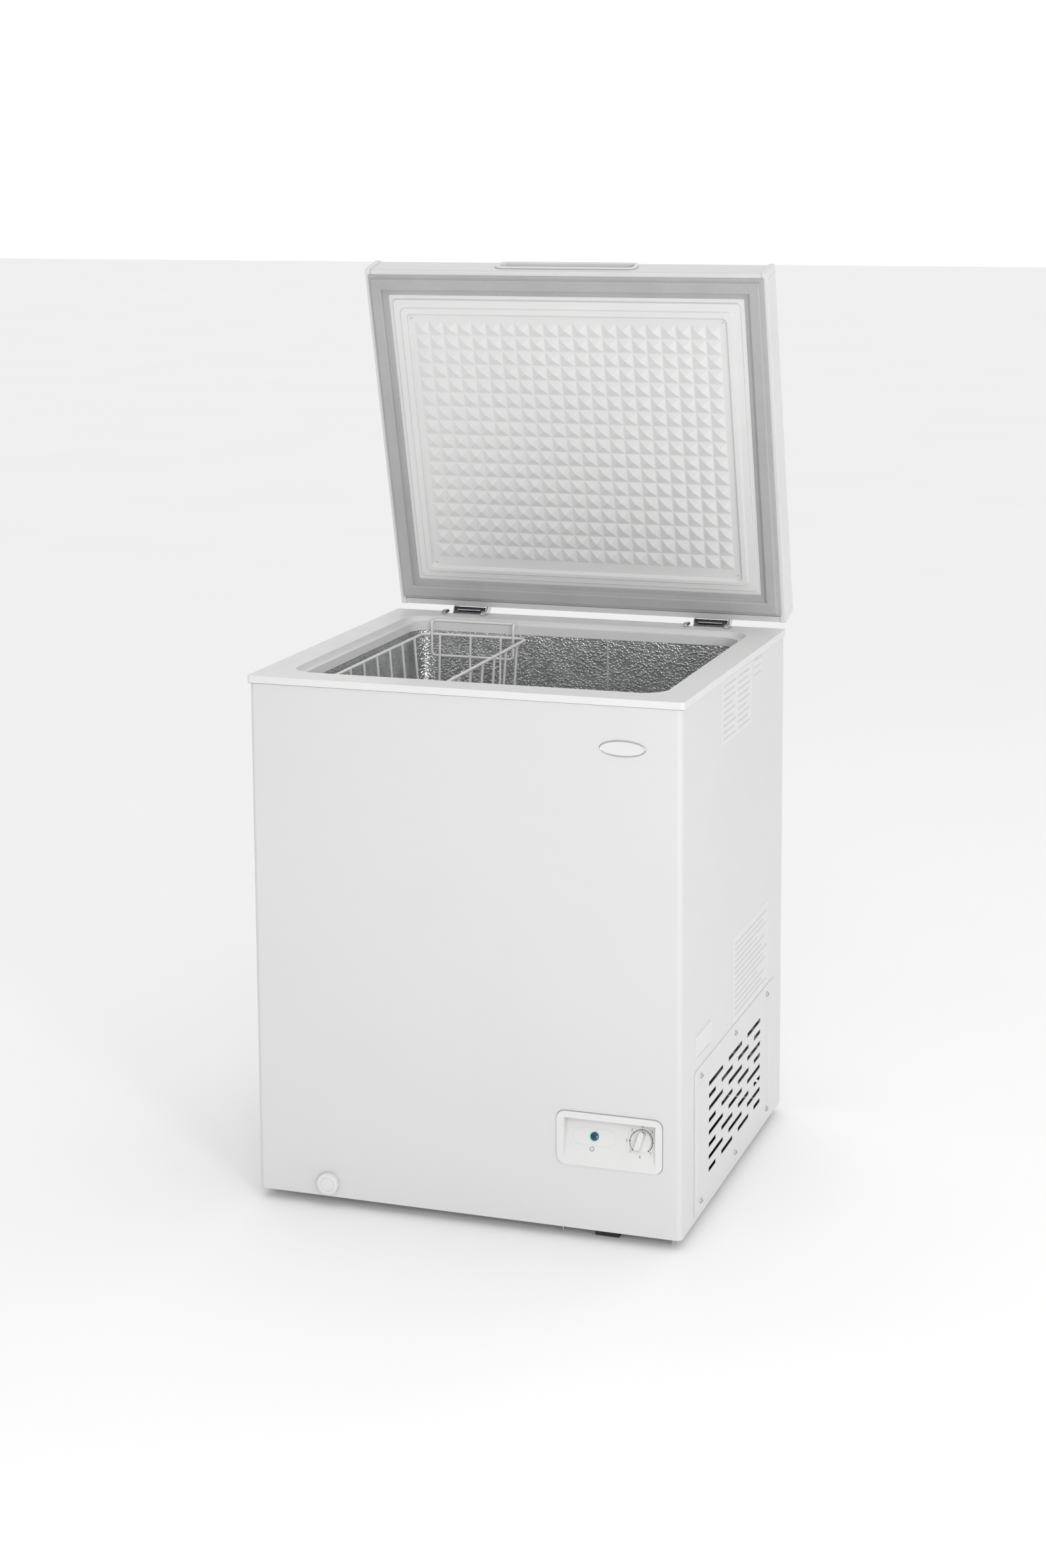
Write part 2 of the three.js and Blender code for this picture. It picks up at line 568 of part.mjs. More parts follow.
// Plug in the tank's floor, with a knob to pull it by.
function drainPlug() {
  const profile = [
    [0, -22], [5.2, -22], [6.2, -18], [6.2, gap], [11, gap], [11, 3], [3, 4], [3, 12], [7, 14], [7, 17], [0, 17],
  ];
  return turned(profile, 16, [drain.x, drain.y, liner.floor]);
}

add('drain_tube', drainTube(), whitePlastic);
add('drain_cap', drainCap(), whitePlastic);
add('drain_plug', drainPlug(), whitePlastic);

// ---------------------------------------------------------------- basket
function wireBasket() {
  const { left, right, halfD: reach, rim, height, inset, rimWire, wire, corner: c } = basket;
  const low = rim - height;
  const [lowLeft, lowRight, lowReach] = [left + inset, right - inset, reach - inset];
  const bars = [];
  const run = (width, overrun, points) => {
    for (let i = 1; i < points.length; i += 1) bars.push(bar(points[i - 1], points[i], width, overrun));
  };
  const half = rimWire / 2;
  const hoop = (x0, x1, y, z) => {
    const outline = (grow) => roundedRectangle((x1 - x0) / 2 + grow, y + grow, c + grow, (x0 + x1) / 2);
    bars.push(ring(outline(half), outline(-half), z - half, z + half));
  };
  hoop(left, right, reach, rim);
  hoop(lowLeft, lowRight, lowReach, low);
  for (let i = 0; i < basket.acrossCount; i += 1) {
    const y = (i - (basket.acrossCount - 1) / 2) * basket.acrossPitch;
    run(wire, 0, [[left, y, rim], [lowLeft, y, low], [lowRight, y, low], [right, y, rim]]);
  }
  for (const x of basket.alongX) {
    run(wire * 0.9, 0, [[x, -reach, rim], [x, -lowReach, low], [x, lowReach, low], [x, reach, rim]]);
  }
  const ledgeZ = cabinet.top - ledge.drop + gap + wire / 2;
  const dip = rim - 33;
  for (const end of [-1, 1]) {
    const [from, to] = basket.handleX;
    const leg = (reach - 3) * end;
    const rest = (trim.openD - 6) * end;
    run(wire, wire * 0.7, [
      [from, rest, ledgeZ], [from, leg, ledgeZ], [from, leg, dip], [to, leg, dip], [to, leg, ledgeZ],
      [to, rest, ledgeZ], [from, rest, ledgeZ],
    ]);
  }
  return join(...bars);
}

add('wire_basket', wireBasket(), coatedWire);

// ---------------------------------------------------------------- hinges
const toLid = (manifold) => manifold.translate([0, -pivot.y, -pivot.z]);

function earShape() {
  const t = cabinet.top;
  return polygon([
    [halfD + gap, t - 44], [halfD + 2.3, t - 44], [halfD + 2.3, t - 12], [halfD - 2, t - 5],
    [halfD - 9, t - 5], [halfD - 12.5, t - 9], [halfD - 12.5, t - 16], [halfD - 8, t - 24],
    [halfD - 4, t - 27], [halfD + gap, t - 27],
  ]);
}

function hingeBase(x) {
  const t = cabinet.top;
  const { halfW: half, sheet, plateHeight } = hinge;
  const plateTop = t - notch.depth;
  const plate = block(x - half, x + half, halfD + gap, halfD + 2.3, plateTop - plateHeight, plateTop);
  const ears = [x - half, x + half - sheet].map((from) => sweepX(earShape(), from, from + sheet));
  const pinHole = rod([x - 40, pivot.y, pivot.z], [x + 40, pivot.y, pivot.z], hinge.pinR + gap, 12);
  const screwHoles = hingeScrews.map(([sx, sz]) =>
    rod([sx, halfD - 5, sz], [sx, halfD + 9, sz], screwHoleR, 8));
  return cut(join(plate, ...ears), pinHole, ...screwHoles);
}

// Lid leaf: two cheeks on the pin and a web on the lid's rear face, drawn with the lid closed.
function hingeArm(x) {
  const t = cabinet.top;
  const rear = halfD - 1 - (cabinet.depth - lid.length) + gap;
  const half = hinge.halfW - hinge.sheet - 0.6;
  const cheek = polygon([
    [pivot.y - 6.2, t - 12], [pivot.y - 4, t - 17], [pivot.y + 4, t - 17], [pivot.y + 6.2, t - 12],
    [pivot.y + 6.2, t + 6], [rear + 8, t + 30], [rear + 2, t + 50], [rear, t + 50], [rear, t + 14],
    [pivot.y - 6.2, t + 4],
  ]);
  const cheeks = [x - half, x + half - hinge.sheet].map((from) => sweepX(cheek, from, from + hinge.sheet));
  const web = block(x - half, x + half, rear, rear + hinge.sheet, t + 14, t + 50);
  const brace = block(x - half, x + half, pivot.y + 4.2, pivot.y + 6.2, t - 2, t + 6);
  const pinHole = rod([x - 40, pivot.y, pivot.z], [x + 40, pivot.y, pivot.z], hinge.pinR + gap, 12);
  return cut(join(web, brace, ...cheeks), pinHole);
}

function hingePin(x) {
  const shank = rod([x - 31.6, pivot.y, pivot.z], [x + 31.6, pivot.y, pivot.z], hinge.pinR, 12);
  const head = rod([x + 31.3, pivot.y, pivot.z], [x + 33.2, pivot.y, pivot.z], 4.2, 12);
  return join(shank, head);
}

// Closed-wound torsion spring round the pin.
function hingeSpring(x) {
  const outer = rod([x - 21, pivot.y, pivot.z], [x + 21, pivot.y, pivot.z], 4.8, 14);
  return cut(outer, rod([x - 30, pivot.y, pivot.z], [x + 30, pivot.y, pivot.z], 3.1, 12));
}

for (const [side, x] of [['left', -hingeX], ['right', hingeX]]) {
  add(`hinge_${side}_base`, hingeBase(x), zinc);
  add(`hinge_${side}_pin`, hingePin(x), zinc);
  add(`hinge_${side}_spring`, hingeSpring(x), zinc);
  add(`hinge_${side}_arm`, toLid(hingeArm(x)), zinc, lidGroup);
}
hingeScrews.forEach(([x, z], i) =>
  add(`hinge_screw_${i + 1}`, screw([x, halfD + 2.3 + gap, z], [0, 1, 0], 6), zinc));

// ---------------------------------------------------------------- lid
// Drawn closed, in the cabinet's frame: u runs from the lid's rear edge to its front edge, w up
// from the plane of its rim.
const lidRear = halfD - 1 - (cabinet.depth - lid.length);
const lidY = (u) => lidRear - u;
const lidZ = (w) => cabinet.top + lid.seal + w;
const lidBlock = (x0, x1, u0, u1, w0, w1) => block(x0, x1, lidY(u1), lidY(u0), lidZ(w0), lidZ(w1));
const lidOutline = (halfX, u0, u1, r) => roundedRectangle(halfX, (u1 - u0) / 2, r, 0, lidY((u0 + u1) / 2));
const addToLid = (name, manifold, material) => add(name, toLid(manifold), material, lidGroup);
const railIn = lid.halfW - lid.rail;

const pocketOutline = (grow) => {
  const half = handle.height / 2 + grow;
  return roundedRectangle(handle.halfW + grow, half, half - 4, 0, lidZ(handle.middle));
};

function lidSkin() {
  const sheet = 1.2;
  const section = (inset) => {
    const shape = new THREE.Shape();
    const [rear, front, top] = [lidY(0) - inset, lidY(lid.length) + inset, lidZ(lid.height) - inset];
    const r = 6 - inset;
    shape.moveTo(rear, lidZ(inset ? -5 : 2.4));
    shape.lineTo(rear, top - r);
    shape.absarc(rear - r, top - r, r, 0, Math.PI / 2, false);
    shape.lineTo(front + r, top);
    shape.absarc(front + r, top - r, r, Math.PI / 2, Math.PI, false);
    shape.lineTo(front, lidZ(inset ? -5 : 2.4));
    return shape;
  };
  const pan = cut(sweepX(section(0), -railIn + gap, railIn - gap), sweepX(section(sheet), -400, 400));
  const rearReturn = lidBlock(-railIn + gap, railIn - gap, 0, seal.rear - 2, 0.4, 0.4 + sheet);
  const rearFold = lidBlock(-railIn + gap, railIn - gap, 0, sheet, 0.4, 4);
  const pocket = sweepY(pocketOutline(-4), lidY(lid.length + 20), lidY(lid.length - 20));
  return cut(join(pan, rearFold, rearReturn), pocket);
}

// Plastic strip along the front edge: a lip under the skin and a wall inside it.
function frontProfile() {
  const reach = railIn - gap;
  const lip = lidBlock(-reach, reach, lid.length - 10.4, lid.length, 0, 2);
  const wall = lidBlock(-reach, reach, lid.length - 3.6, lid.length - 1.6, 1, 11);
  return join(lip, wall);
}

function sideRail(side) {
  const [inX, outX] = [side * railIn, side * lid.halfW].sort((a, b) => a - b);
  const body = lidBlock(inX, outX, -1, lid.length + 1, 0, lid.height + 1);
  const channel = lidBlock(Math.min(side * (railIn - 5), side * (lid.halfW - 2.2)),
    Math.max(side * (railIn - 5), side * (lid.halfW - 2.2)), 1.2, lid.length - 1.2, 1, lid.height - 1);
  return cut(body, channel);
}

function lidFoam() {
  const slab = lidBlock(-railIn + 2, railIn - 2, 4.2, lid.length - 4.2, 2.7, lid.height - 1.6);
  const body = join(slab, lidBlock(-248, 248, 72, 483.5, -1.1, 3));
  const pocket = sweepY(pocketOutline(-1), lidY(lid.length + 20), lidY(lid.length - handle.pocketDepth - 4));
  return cut(body, pocket);
}

function lidHandle() {
  const front = lidY(lid.length);
  const flange = sweepY(pocketOutline(0), front - handle.proud - gap, front - gap);
  const cup = sweepY(pocketOutline(-4.5), front - 1, front + handle.pocketDepth);
  const scoop = sweepY(pocketOutline(-7), front - 9, front + handle.pocketDepth - 2);
  return cut(join(flange, cup), scoop);
}

function lidGasket() {
  const outer = lidOutline(seal.halfW, seal.rear, seal.front, 6);
  const inner = lidOutline(seal.inHalfW + gap, seal.inRear - gap, seal.inFront + gap, 3);
  return ring(outer, inner, lidZ(-lid.seal + 0.4), lidZ(-gap));
}

// Field of square pyramids pointing down from a flat back.
function pyramidField(base) {
  const { pitch, across, along, height } = pyramid;
  const [x0, y0] = [-(across * pitch) / 2, lidY((seal.inRear + seal.inFront) / 2) - (along * pitch) / 2];
  const positions = [];
  const index = [];
  const corner = (i, j) => j * (across + 1) + i;
  for (let j = 0; j <= along; j += 1) {
    for (let i = 0; i <= across; i += 1) positions.push(x0 + i * pitch, y0 + j * pitch, base);
  }
  const backStart = positions.length / 3;
  for (let j = 0; j <= along; j += 1) {
    for (let i = 0; i <= across; i += 1) positions.push(x0 + i * pitch, y0 + j * pitch, base + 1.2);
  }
  for (let j = 0; j < along; j += 1) {
    for (let i = 0; i < across; i += 1) {
      const apex = positions.length / 3;
      positions.push(x0 + (i + 0.5) * pitch, y0 + (j + 0.5) * pitch, base - height);
      const [a, b, c, d] = [corner(i, j), corner(i + 1, j), corner(i + 1, j + 1), corner(i, j + 1)];
      index.push(b, a, apex, c, b, apex, d, c, apex, a, d, apex);
      const [e, f, g, h] = [a, b, c, d].map((v) => v + backStart);
      index.push(e, f, g, e, g, h);
    }
  }
  const wall = (a, b) => index.push(a, b, b + backStart, a, b + backStart, a + backStart);
  for (let i = 0; i < across; i += 1) {
    wall(corner(i, 0), corner(i + 1, 0));
    wall(corner(i + 1, along), corner(i, along));
  }
  for (let j = 0; j < along; j += 1) {
    wall(corner(0, j + 1), corner(0, j));
    wall(corner(across, j), corner(across, j + 1));
  }
  const geometry = new THREE.BufferGeometry();
  geometry.setAttribute('position', new THREE.Float32BufferAttribute(positions, 3));
  geometry.setIndex(index);
  return solid(geometry);
}

function lidLiner() {
  const outer = lidOutline(seal.inHalfW, seal.inRear, seal.inFront, 4);
  const frameOuter = lidOutline(seal.inHalfW - 13, seal.inRear + 13, seal.inFront - 13, 8);
  const frameInner = lidOutline(250, 70, 485.5, 6);
  const flange = ring(outer, frameInner, lidZ(0.9), lidZ(2.4));
  const frame = ring(frameOuter, frameInner, lidZ(-8), lidZ(1.2));
  const recess = raise(lidOutline(252, 68, 487.5, 6), lidZ(-3), lidZ(-1.4));
  return join(flange, frame, recess, pyramidField(lidZ(-3)));
}

addToLid('lid_skin', lidSkin(), whiteSteel);
addToLid('lid_front_profile', frontProfile(), whitePlastic);
addToLid('lid_side_rail_left', sideRail(-1), whitePlastic);
addToLid('lid_side_rail_right', sideRail(1), whitePlastic);
addToLid('lid_foam', lidFoam(), foamYellow);
addToLid('lid_handle', lidHandle(), whitePlastic);
addToLid('lid_gasket', lidGasket(), greyRubber);
addToLid('lid_liner', lidLiner(), whitePlastic);

// ---------------------------------------------------------------- badge
// Blank oval plate on the front.
const badgeOutline = new THREE.Shape().absellipse(231.9, 697.5, 33, 11.5, 0, 2 * Math.PI, false);
add('front_badge', sweepY(badgeOutline, -halfD - 1.8, -halfD - gap, 12), zinc);

export default freezer;
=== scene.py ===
"""Chest freezer with its lid open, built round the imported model: the detailed pieces, the
materials, the studio and the camera. Sizes are millimetres in the cabinet's own frame, with the
front towards -Y and +Z up, and MM turns them into the model's metres."""
import math

import bpy
from mathutils import Matrix, Vector


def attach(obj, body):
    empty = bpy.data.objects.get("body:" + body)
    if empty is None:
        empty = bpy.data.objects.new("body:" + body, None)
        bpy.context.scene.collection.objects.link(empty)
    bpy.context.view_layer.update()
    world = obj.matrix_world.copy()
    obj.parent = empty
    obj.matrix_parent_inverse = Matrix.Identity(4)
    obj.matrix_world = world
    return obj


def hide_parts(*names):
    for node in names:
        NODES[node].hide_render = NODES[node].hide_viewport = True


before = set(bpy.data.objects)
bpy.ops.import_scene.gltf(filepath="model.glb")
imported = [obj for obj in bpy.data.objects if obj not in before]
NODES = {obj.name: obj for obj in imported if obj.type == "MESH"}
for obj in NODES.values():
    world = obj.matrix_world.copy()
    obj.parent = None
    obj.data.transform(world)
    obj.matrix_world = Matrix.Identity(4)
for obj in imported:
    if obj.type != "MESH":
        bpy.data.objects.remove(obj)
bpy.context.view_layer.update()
MM = 0.001

# ------------------------------------------------------------------ dimensions, millimetres
CABINET_Y = -27.0                       # the cabinet's middle in the model's frame
HALF_W, HALF_D, TOP = 315.0, 287.5, 766.0
LINER = dict(half_d=232.0, floor=78.0, bay_step=302.0, top=TOP - 21.5, seam_x=51.0)
LID_REAR = HALF_D - 21.0                # rear edge of the closed lid
LID = dict(half_w=315.5, length=555.0, height=48.0, rim=TOP + 10.0, open_deg=75.7)
PIVOT = (HALF_D - 6.0, TOP - 12.0)
HINGE_X = 198.0
SPRING = dict(turns=17, r=3.95, length=38.0, wire=0.85, steps=16)
GASKET = dict(half_w=310.0, rear=11.0, front=548.0, rear_slope=1.12, front_slope=1.035)
LINER_PAN = dict(half_w=246.0, rear=75.0, front=481.0, middle=280.75)
PYRAMID = dict(pitch=23.0, across=21, along=17, height=5.0, base=-3.0, valley=0.9)
HANDLE = dict(half_w=112.0, half_h=16.0, middle=29.0)
BASKET = dict(left=-250.0, right=-78.0, half_d=226.0, rim=740.0, height=210.0, inset=17.0, corner=16.0,
              pitch=52.0, across=8, along=(-222.0, -171.0, -121.0), hanger=(-235.0, -100.0), rest=237.0)
VENT = dict(y=3.0, z=126.0, middle=10.0, half_l=231.7, half_h=105.7, ribs=((-216.0, -160.0), (193.0, 236.0)),
            rib_half_h=83.0, screw_y=(-191.0, 1.0, 192.0), screw_z=91.0)
VENT_SLOT = dict(half=3.6, corner=1.6, pitch=18.0, lift=1.0, rows=8, odd=((-150, -70), (-40, 40), (70, 150)),
                 even=((-150, -110), (-80, -15), (15, 80), (110, 150)))
LOUVRE = dict(rows=10, bottom=70.0, pitch=14.0, length=60.0, columns=(160.0, 229.0),
              cover=3.0, rise=3.6, drop=9.0)
PANEL = dict(x=212.6, z=144.5, tilt=20.0, shadow_line_half_w=76.1, shadow_line_half_h=38.7, corner=11.4)
DIAL = dict(x=43.0, z=2.0, r=14.6, turn=14.0, marks=8, ring_r=16.4, digit_r=20.6, dot_r=1.05)
LAMP = dict(x=-24.0, z=2.0, r=5.9)
POWER = dict(x=LAMP["x"] - 2.0, z=LAMP["z"] - 17.2, r=2.9)
DRAIN = dict(x=-206.0, z=34.5, cap_r=16.0, plug_y=-190.0)
EMBLEM = dict(x=231.9, z=697.5, half_w=33.0, half_h=11.5, points=72)
PLATES = (                              # name, front to rear, bottom to top, bars, columns of bars
    ("rating_plate_blank", (-85.0, 88.0), (662.0, 754.0), 9, 2),
    ("stock_label_blank", (101.0, 151.0), (727.0, 753.0), 3, 1),
    ("gas_label_blank", (-217.0, -128.0), (246.0, 285.0), 2, 1),
    ("notice_plate_blank", (-13.0, 203.0), (234.5, 364.0), 13, 1),
)
CAMERA = dict(azimuth=18.941, elevation=8.483, roll=-0.338, metres=(1.2498, -3.6875, 1.4945),
              lens=61.67, shift=-0.150)
LIGHTS = (                              # name, place and target in metres, size, watts
    ("key_light", (2.1, -2.5, 1.45), (0.1, -0.1, 0.75), 0.6, 17.0),
    ("low_fill", (1.1, -3.5, 0.95), (0.0, 0.2, 0.95), 1.0, 20.0),
    ("rim_light", (1.2, 2.4, 2.2), (0.0, 0.2, 0.9), 1.2, 2.0),
)

CAB = Matrix.Translation((0, CABINET_Y * MM, 0))
_turn = Matrix.Rotation(-math.radians(LID["open_deg"]), 4, "X")
_pivot = Vector((0, PIVOT[0] * MM, PIVOT[1] * MM))
LID_M = CAB @ Matrix.Translation(_pivot) @ _turn @ Matrix.Translation(-_pivot)
_face_at = Matrix.Translation((PANEL["x"] * MM, (-HALF_D + 8.0) * MM, PANEL["z"] * MM))
FACE_M = CAB @ _face_at @ Matrix.Rotation(-math.radians(PANEL["tilt"]), 4, "X")
LABEL_M = CAB @ Matrix(((0, 0, 1, HALF_W * MM), (1, 0, 0, 0), (0, 1, 0, 0), (0, 0, 0, 1)))


# ------------------------------------------------------------------ materials
class Paint:
    """A procedural material in object space, built one layer at a time."""

    def __init__(self, name, color, rough, metal=0.0, **sockets):
        self.mat = bpy.data.materials.new(name)
        self.mat.use_nodes = True
        self.tree = self.mat.node_tree
        self.bsdf = self.tree.nodes["Principled BSDF"]
        self.bsdf.inputs["Base Color"].default_value = (*color, 1)
        self.bsdf.inputs["Roughness"].default_value = rough
        self.bsdf.inputs["Metallic"].default_value = metal
        for socket, value in sockets.items():
            self.bsdf.inputs[socket.replace("_", " ")].default_value = value
        self.color, self.rough, self.height = color, rough, None
        self.coord = self.node("ShaderNodeTexCoord").outputs["Object"]

    def node(self, kind, **settings):
        made = self.tree.nodes.new(kind)
        for key, value in settings.items():
            setattr(made, key, value)
        return made

    def link(self, a, b):
        self.tree.links.new(a, b)

    def mapped(self, scale):
        mapping = self.node("ShaderNodeMapping")
        mapping.inputs["Scale"].default_value = scale
        self.link(self.coord, mapping.inputs["Vector"])
        return mapping.outputs["Vector"]

    def noise(self, scale, detail=3.0, stretch=(1, 1, 1), distortion=0.0):
        made = self.node("ShaderNodeTexNoise")
        made.inputs["Scale"].default_value = scale
        made.inputs["Detail"].default_value = detail
        made.inputs["Distortion"].default_value = distortion
        self.link(self.mapped(stretch), made.inputs["Vector"])
        return made.outputs["Fac"]

    def ranged(self, source, low, high, to_low, to_high):
        made = self.node("ShaderNodeMapRange")
        for socket, value in zip(("From Min", "From Max", "To Min", "To Max"), (low, high, to_low, to_high)):
            made.inputs[socket].default_value = value
        self.link(source, made.inputs["Value"])
        return made.outputs["Result"]

    def mottle(self, source, other, low=0.35, high=0.7, most=1.0):
        """Mixes the base colour towards another where the source is high."""
        mix = self.node("ShaderNodeMix", data_type="RGBA")
        self.link(self.ranged(source, low, high, 0.0, most), mix.inputs[0])
        socket = self.bsdf.inputs["Base Color"]
        if socket.is_linked:
            self.link(socket.links[0].from_socket, mix.inputs[6])
        else:
            mix.inputs[6].default_value = (*self.color, 1)
        mix.inputs[7].default_value = (*other, 1)
        self.link(mix.outputs[2], socket)
        return self

    def roughen(self, source, spread):
        out = self.ranged(source, 0.3, 0.7, self.rough - spread, self.rough + spread)
        self.link(out, self.bsdf.inputs["Roughness"])
        return self

    def bump(self, source, distance, strength=1.0):
        made = self.node("ShaderNodeBump")
        made.inputs["Distance"].default_value = distance
        made.inputs["Strength"].default_value = strength
        self.link(source, made.inputs["Height"])
        if self.height is not None:
            self.link(self.height, made.inputs["Normal"])
        self.height = made.outputs["Normal"]
        self.link(self.height, self.bsdf.inputs["Normal"])
        return self

    def wear(self, other, radius=0.0015, most=0.5):
        """Lightens or darkens edges, where a bevelled normal leaves the true one."""
        bevel = self.node("ShaderNodeBevel", samples=4)
        bevel.inputs["Radius"].default_value = radius
        geometry = self.node("ShaderNodeNewGeometry")
        dot = self.node("ShaderNodeVectorMath", operation="DOT_PRODUCT")
        self.link(bevel.outputs["Normal"], dot.inputs[0])
        self.link(geometry.outputs["Normal"], dot.inputs[1])
        edge = self.ranged(dot.outputs["Value"], 0.98, 0.75, 0.0, 1.0)
        grain = self.ranged(self.noise(60.0, 4.0), 0.4, 0.65, 0.0, 1.0)
        both = self.node("ShaderNodeMath", operation="MULTIPLY")
        self.link(edge, both.inputs[0])
        self.link(grain, both.inputs[1])
        return self.mottle(both.outputs["Value"], other, 0.0, 1.0, most)


def enamel():
    p = Paint("white_enamel", (0.668, 0.668, 0.668), 0.32, Coat_Weight=0.25, Coat_Roughness=0.12)
    p.mottle(p.noise(2.2, 2.0), (0.655, 0.656, 0.658), 0.4, 0.65)
    p.mottle(p.noise(9.0, 5.0), (0.662, 0.661, 0.66), 0.52, 0.72, 0.6)
    p.roughen(p.noise(14.0, 4.0), 0.03)
    return p.bump(p.noise(420.0, 2.0), 0.000012, 0.4).mat


def collar_plastic():
    p = Paint("collar_plastic", (0.735, 0.735, 0.73), 0.42, Specular_IOR_Level=0.4)
    p.mottle(p.noise(5.0, 3.0), (0.715, 0.715, 0.712), 0.4, 0.68)
    p.roughen(p.noise(25.0, 4.0), 0.06)
    return p.bump(p.noise(1500.0, 3.0), 0.00003, 0.6).mat


def moulded_white(name="moulded_white", tone=0.71, rough=0.36):
    p = Paint(name, (tone, tone, tone - 0.006), rough, Coat_Weight=0.1, Coat_Roughness=0.2)
    p.mottle(p.noise(12.0, 3.0), (tone - 0.02, tone - 0.02, tone - 0.022), 0.4, 0.7)
    p.roughen(p.noise(40.0, 3.0), 0.05)
    return p.bump(p.noise(1200.0, 2.0), 0.00002, 0.5).mat


def lid_liner_plastic():
    p = Paint("thermoformed_white", (0.755, 0.755, 0.75), 0.34, Coat_Weight=0.15, Coat_Roughness=0.18,
              Subsurface_Weight=0.04, Subsurface_Scale=0.002)
    p.mottle(p.noise(7.0, 3.0), (0.735, 0.735, 0.732), 0.4, 0.7)
    p.roughen(p.noise(30.0, 4.0), 0.05)
    return p.bump(p.noise(90.0, 3.0), 0.00012, 0.5).mat


def gasket_rubber():
    p = Paint("gasket_vinyl", (0.43, 0.43, 0.432), 0.5, Sheen_Weight=0.1)
    p.mottle(p.noise(16.0, 5.0, (1, 1, 0.3)), (0.4, 0.4, 0.403), 0.42, 0.7)
    p.mottle(p.noise(140.0, 3.0), (0.46, 0.46, 0.46), 0.55, 0.75, 0.5)
    p.roughen(p.noise(60.0, 3.0), 0.08)
    return p.bump(p.noise(900.0, 4.0), 0.00005, 0.7).mat


def stucco_aluminium():
    """Embossed sheet: small raised flakes with a fine crumpled grain between them."""
    p = Paint("stucco_aluminium", (0.75, 0.755, 0.76), 0.31, 1.0)
    cells = p.node("ShaderNodeTexVoronoi", feature="SMOOTH_F1")
    cells.inputs["Scale"].default_value = 290.0
    cells.inputs["Smoothness"].default_value = 0.35
    cells.inputs["Randomness"].default_value = 1.0
    bent = p.node("ShaderNodeVectorMath", operation="ADD")
    warp = p.node("ShaderNodeTexNoise")
    warp.inputs["Scale"].default_value = 110.0
    p.link(p.coord, warp.inputs["Vector"])
    small = p.node("ShaderNodeVectorMath", operation="SCALE")
    small.inputs["Scale"].default_value = 0.004
    p.link(warp.outputs["Color"], small.inputs[0])
    p.link(p.coord, bent.inputs[0])
    p.link(small.outputs[0], bent.inputs[1])
    p.link(bent.outputs[0], cells.inputs["Vector"])
    flakes = p.ranged(cells.outputs["Distance"], 0.15, 0.6, 1.0, 0.0)
    p.mottle(p.noise(30.0, 5.0), (0.57, 0.575, 0.58), 0.42, 0.7, 0.8)
    p.roughen(p.noise(220.0, 4.0), 0.08)
    p.bump(flakes, 0.00055, 0.9)
    return p.bump(p.noise(520.0, 4.0), 0.0002, 0.7).mat


def zinc_plate(name="zinc_plate", tone=0.6, rough=0.3):
    p = Paint(name, (tone, tone + 0.005, tone + 0.015), rough, 1.0)
    p.mottle(p.noise(45.0, 5.0, distortion=1.5), (tone * 0.8, tone * 0.81, tone * 0.84), 0.42, 0.68)
    p.roughen(p.noise(120.0, 4.0), 0.09)
    p.wear((0.75, 0.75, 0.76), 0.0008, 0.5)
    return p.bump(p.noise(700.0, 3.0), 0.00004, 0.6).mat


def foam():
    p = Paint("polyurethane_foam", (0.72, 0.6, 0.36), 0.95)
    p.mottle(p.noise(18.0, 6.0), (0.62, 0.48, 0.25), 0.4, 0.7)
    return p.bump(p.noise(300.0, 6.0), 0.0008, 0.9).mat


def copper():
    p = Paint("copper_tube", (0.7, 0.33, 0.19), 0.3, 1.0)
    p.mottle(p.noise(70.0, 5.0), (0.32, 0.15, 0.09), 0.45, 0.75, 0.8)
    p.roughen(p.noise(110.0, 4.0), 0.12)
    return p.bump(p.noise(500.0, 3.0), 0.00003, 0.5).mat


def black_plastic():
    p = Paint("black_plastic", (0.022, 0.022, 0.023), 0.5)
    p.mottle(p.noise(30.0, 5.0), (0.04, 0.04, 0.041), 0.45, 0.7)
    p.roughen(p.noise(90.0, 3.0), 0.1)
    return p.bump(p.noise(1400.0, 3.0), 0.00005, 0.7).mat


def black_rubber():
    p = Paint("black_rubber", (0.018, 0.018, 0.018), 0.75)
    p.mottle(p.noise(40.0, 4.0), (0.045, 0.043, 0.04), 0.5, 0.75)
    return p.bump(p.noise(600.0, 4.0), 0.00008, 0.8).mat


def black_enamel():
    p = Paint("black_enamel", (0.016, 0.017, 0.018), 0.3, 0.0, Coat_Weight=0.5, Coat_Roughness=0.15)
    p.mottle(p.noise(20.0, 5.0), (0.035, 0.034, 0.032), 0.5, 0.75)
    p.roughen(p.noise(45.0, 4.0), 0.1)
    return p.bump(p.noise(350.0, 2.0), 0.00006, 0.6).mat


def coated_wire():
    p = Paint("vinyl_coated_wire", (0.8, 0.8, 0.795), 0.24, Coat_Weight=0.3, Coat_Roughness=0.1)
    p.mottle(p.noise(35.0, 3.0), (0.77, 0.77, 0.765), 0.4, 0.7)
    p.roughen(p.noise(80.0, 3.0), 0.05)
    return p.bump(p.noise(260.0, 3.0), 0.00008, 0.6).mat


def lamp_lens():
    p = Paint("lamp_lens", (0.0, 0.033, 0.06), 0.12, Coat_Weight=1.0, Coat_Roughness=0.04)
    p.mottle(p.noise(500.0, 2.0), (0.0, 0.045, 0.075), 0.4, 0.7)
    return p.bump(p.noise(900.0, 2.0), 0.00003, 0.4).mat


def lamp_ring():
    p = Paint("lamp_ring", (0.12, 0.62, 0.66), 0.3, Coat_Weight=0.6, Coat_Roughness=0.08)
    p.mottle(p.noise(400.0, 2.0), (0.35, 0.78, 0.8), 0.4, 0.7)
    return p.bump(p.noise(1200.0, 2.0), 0.00002, 0.4).mat
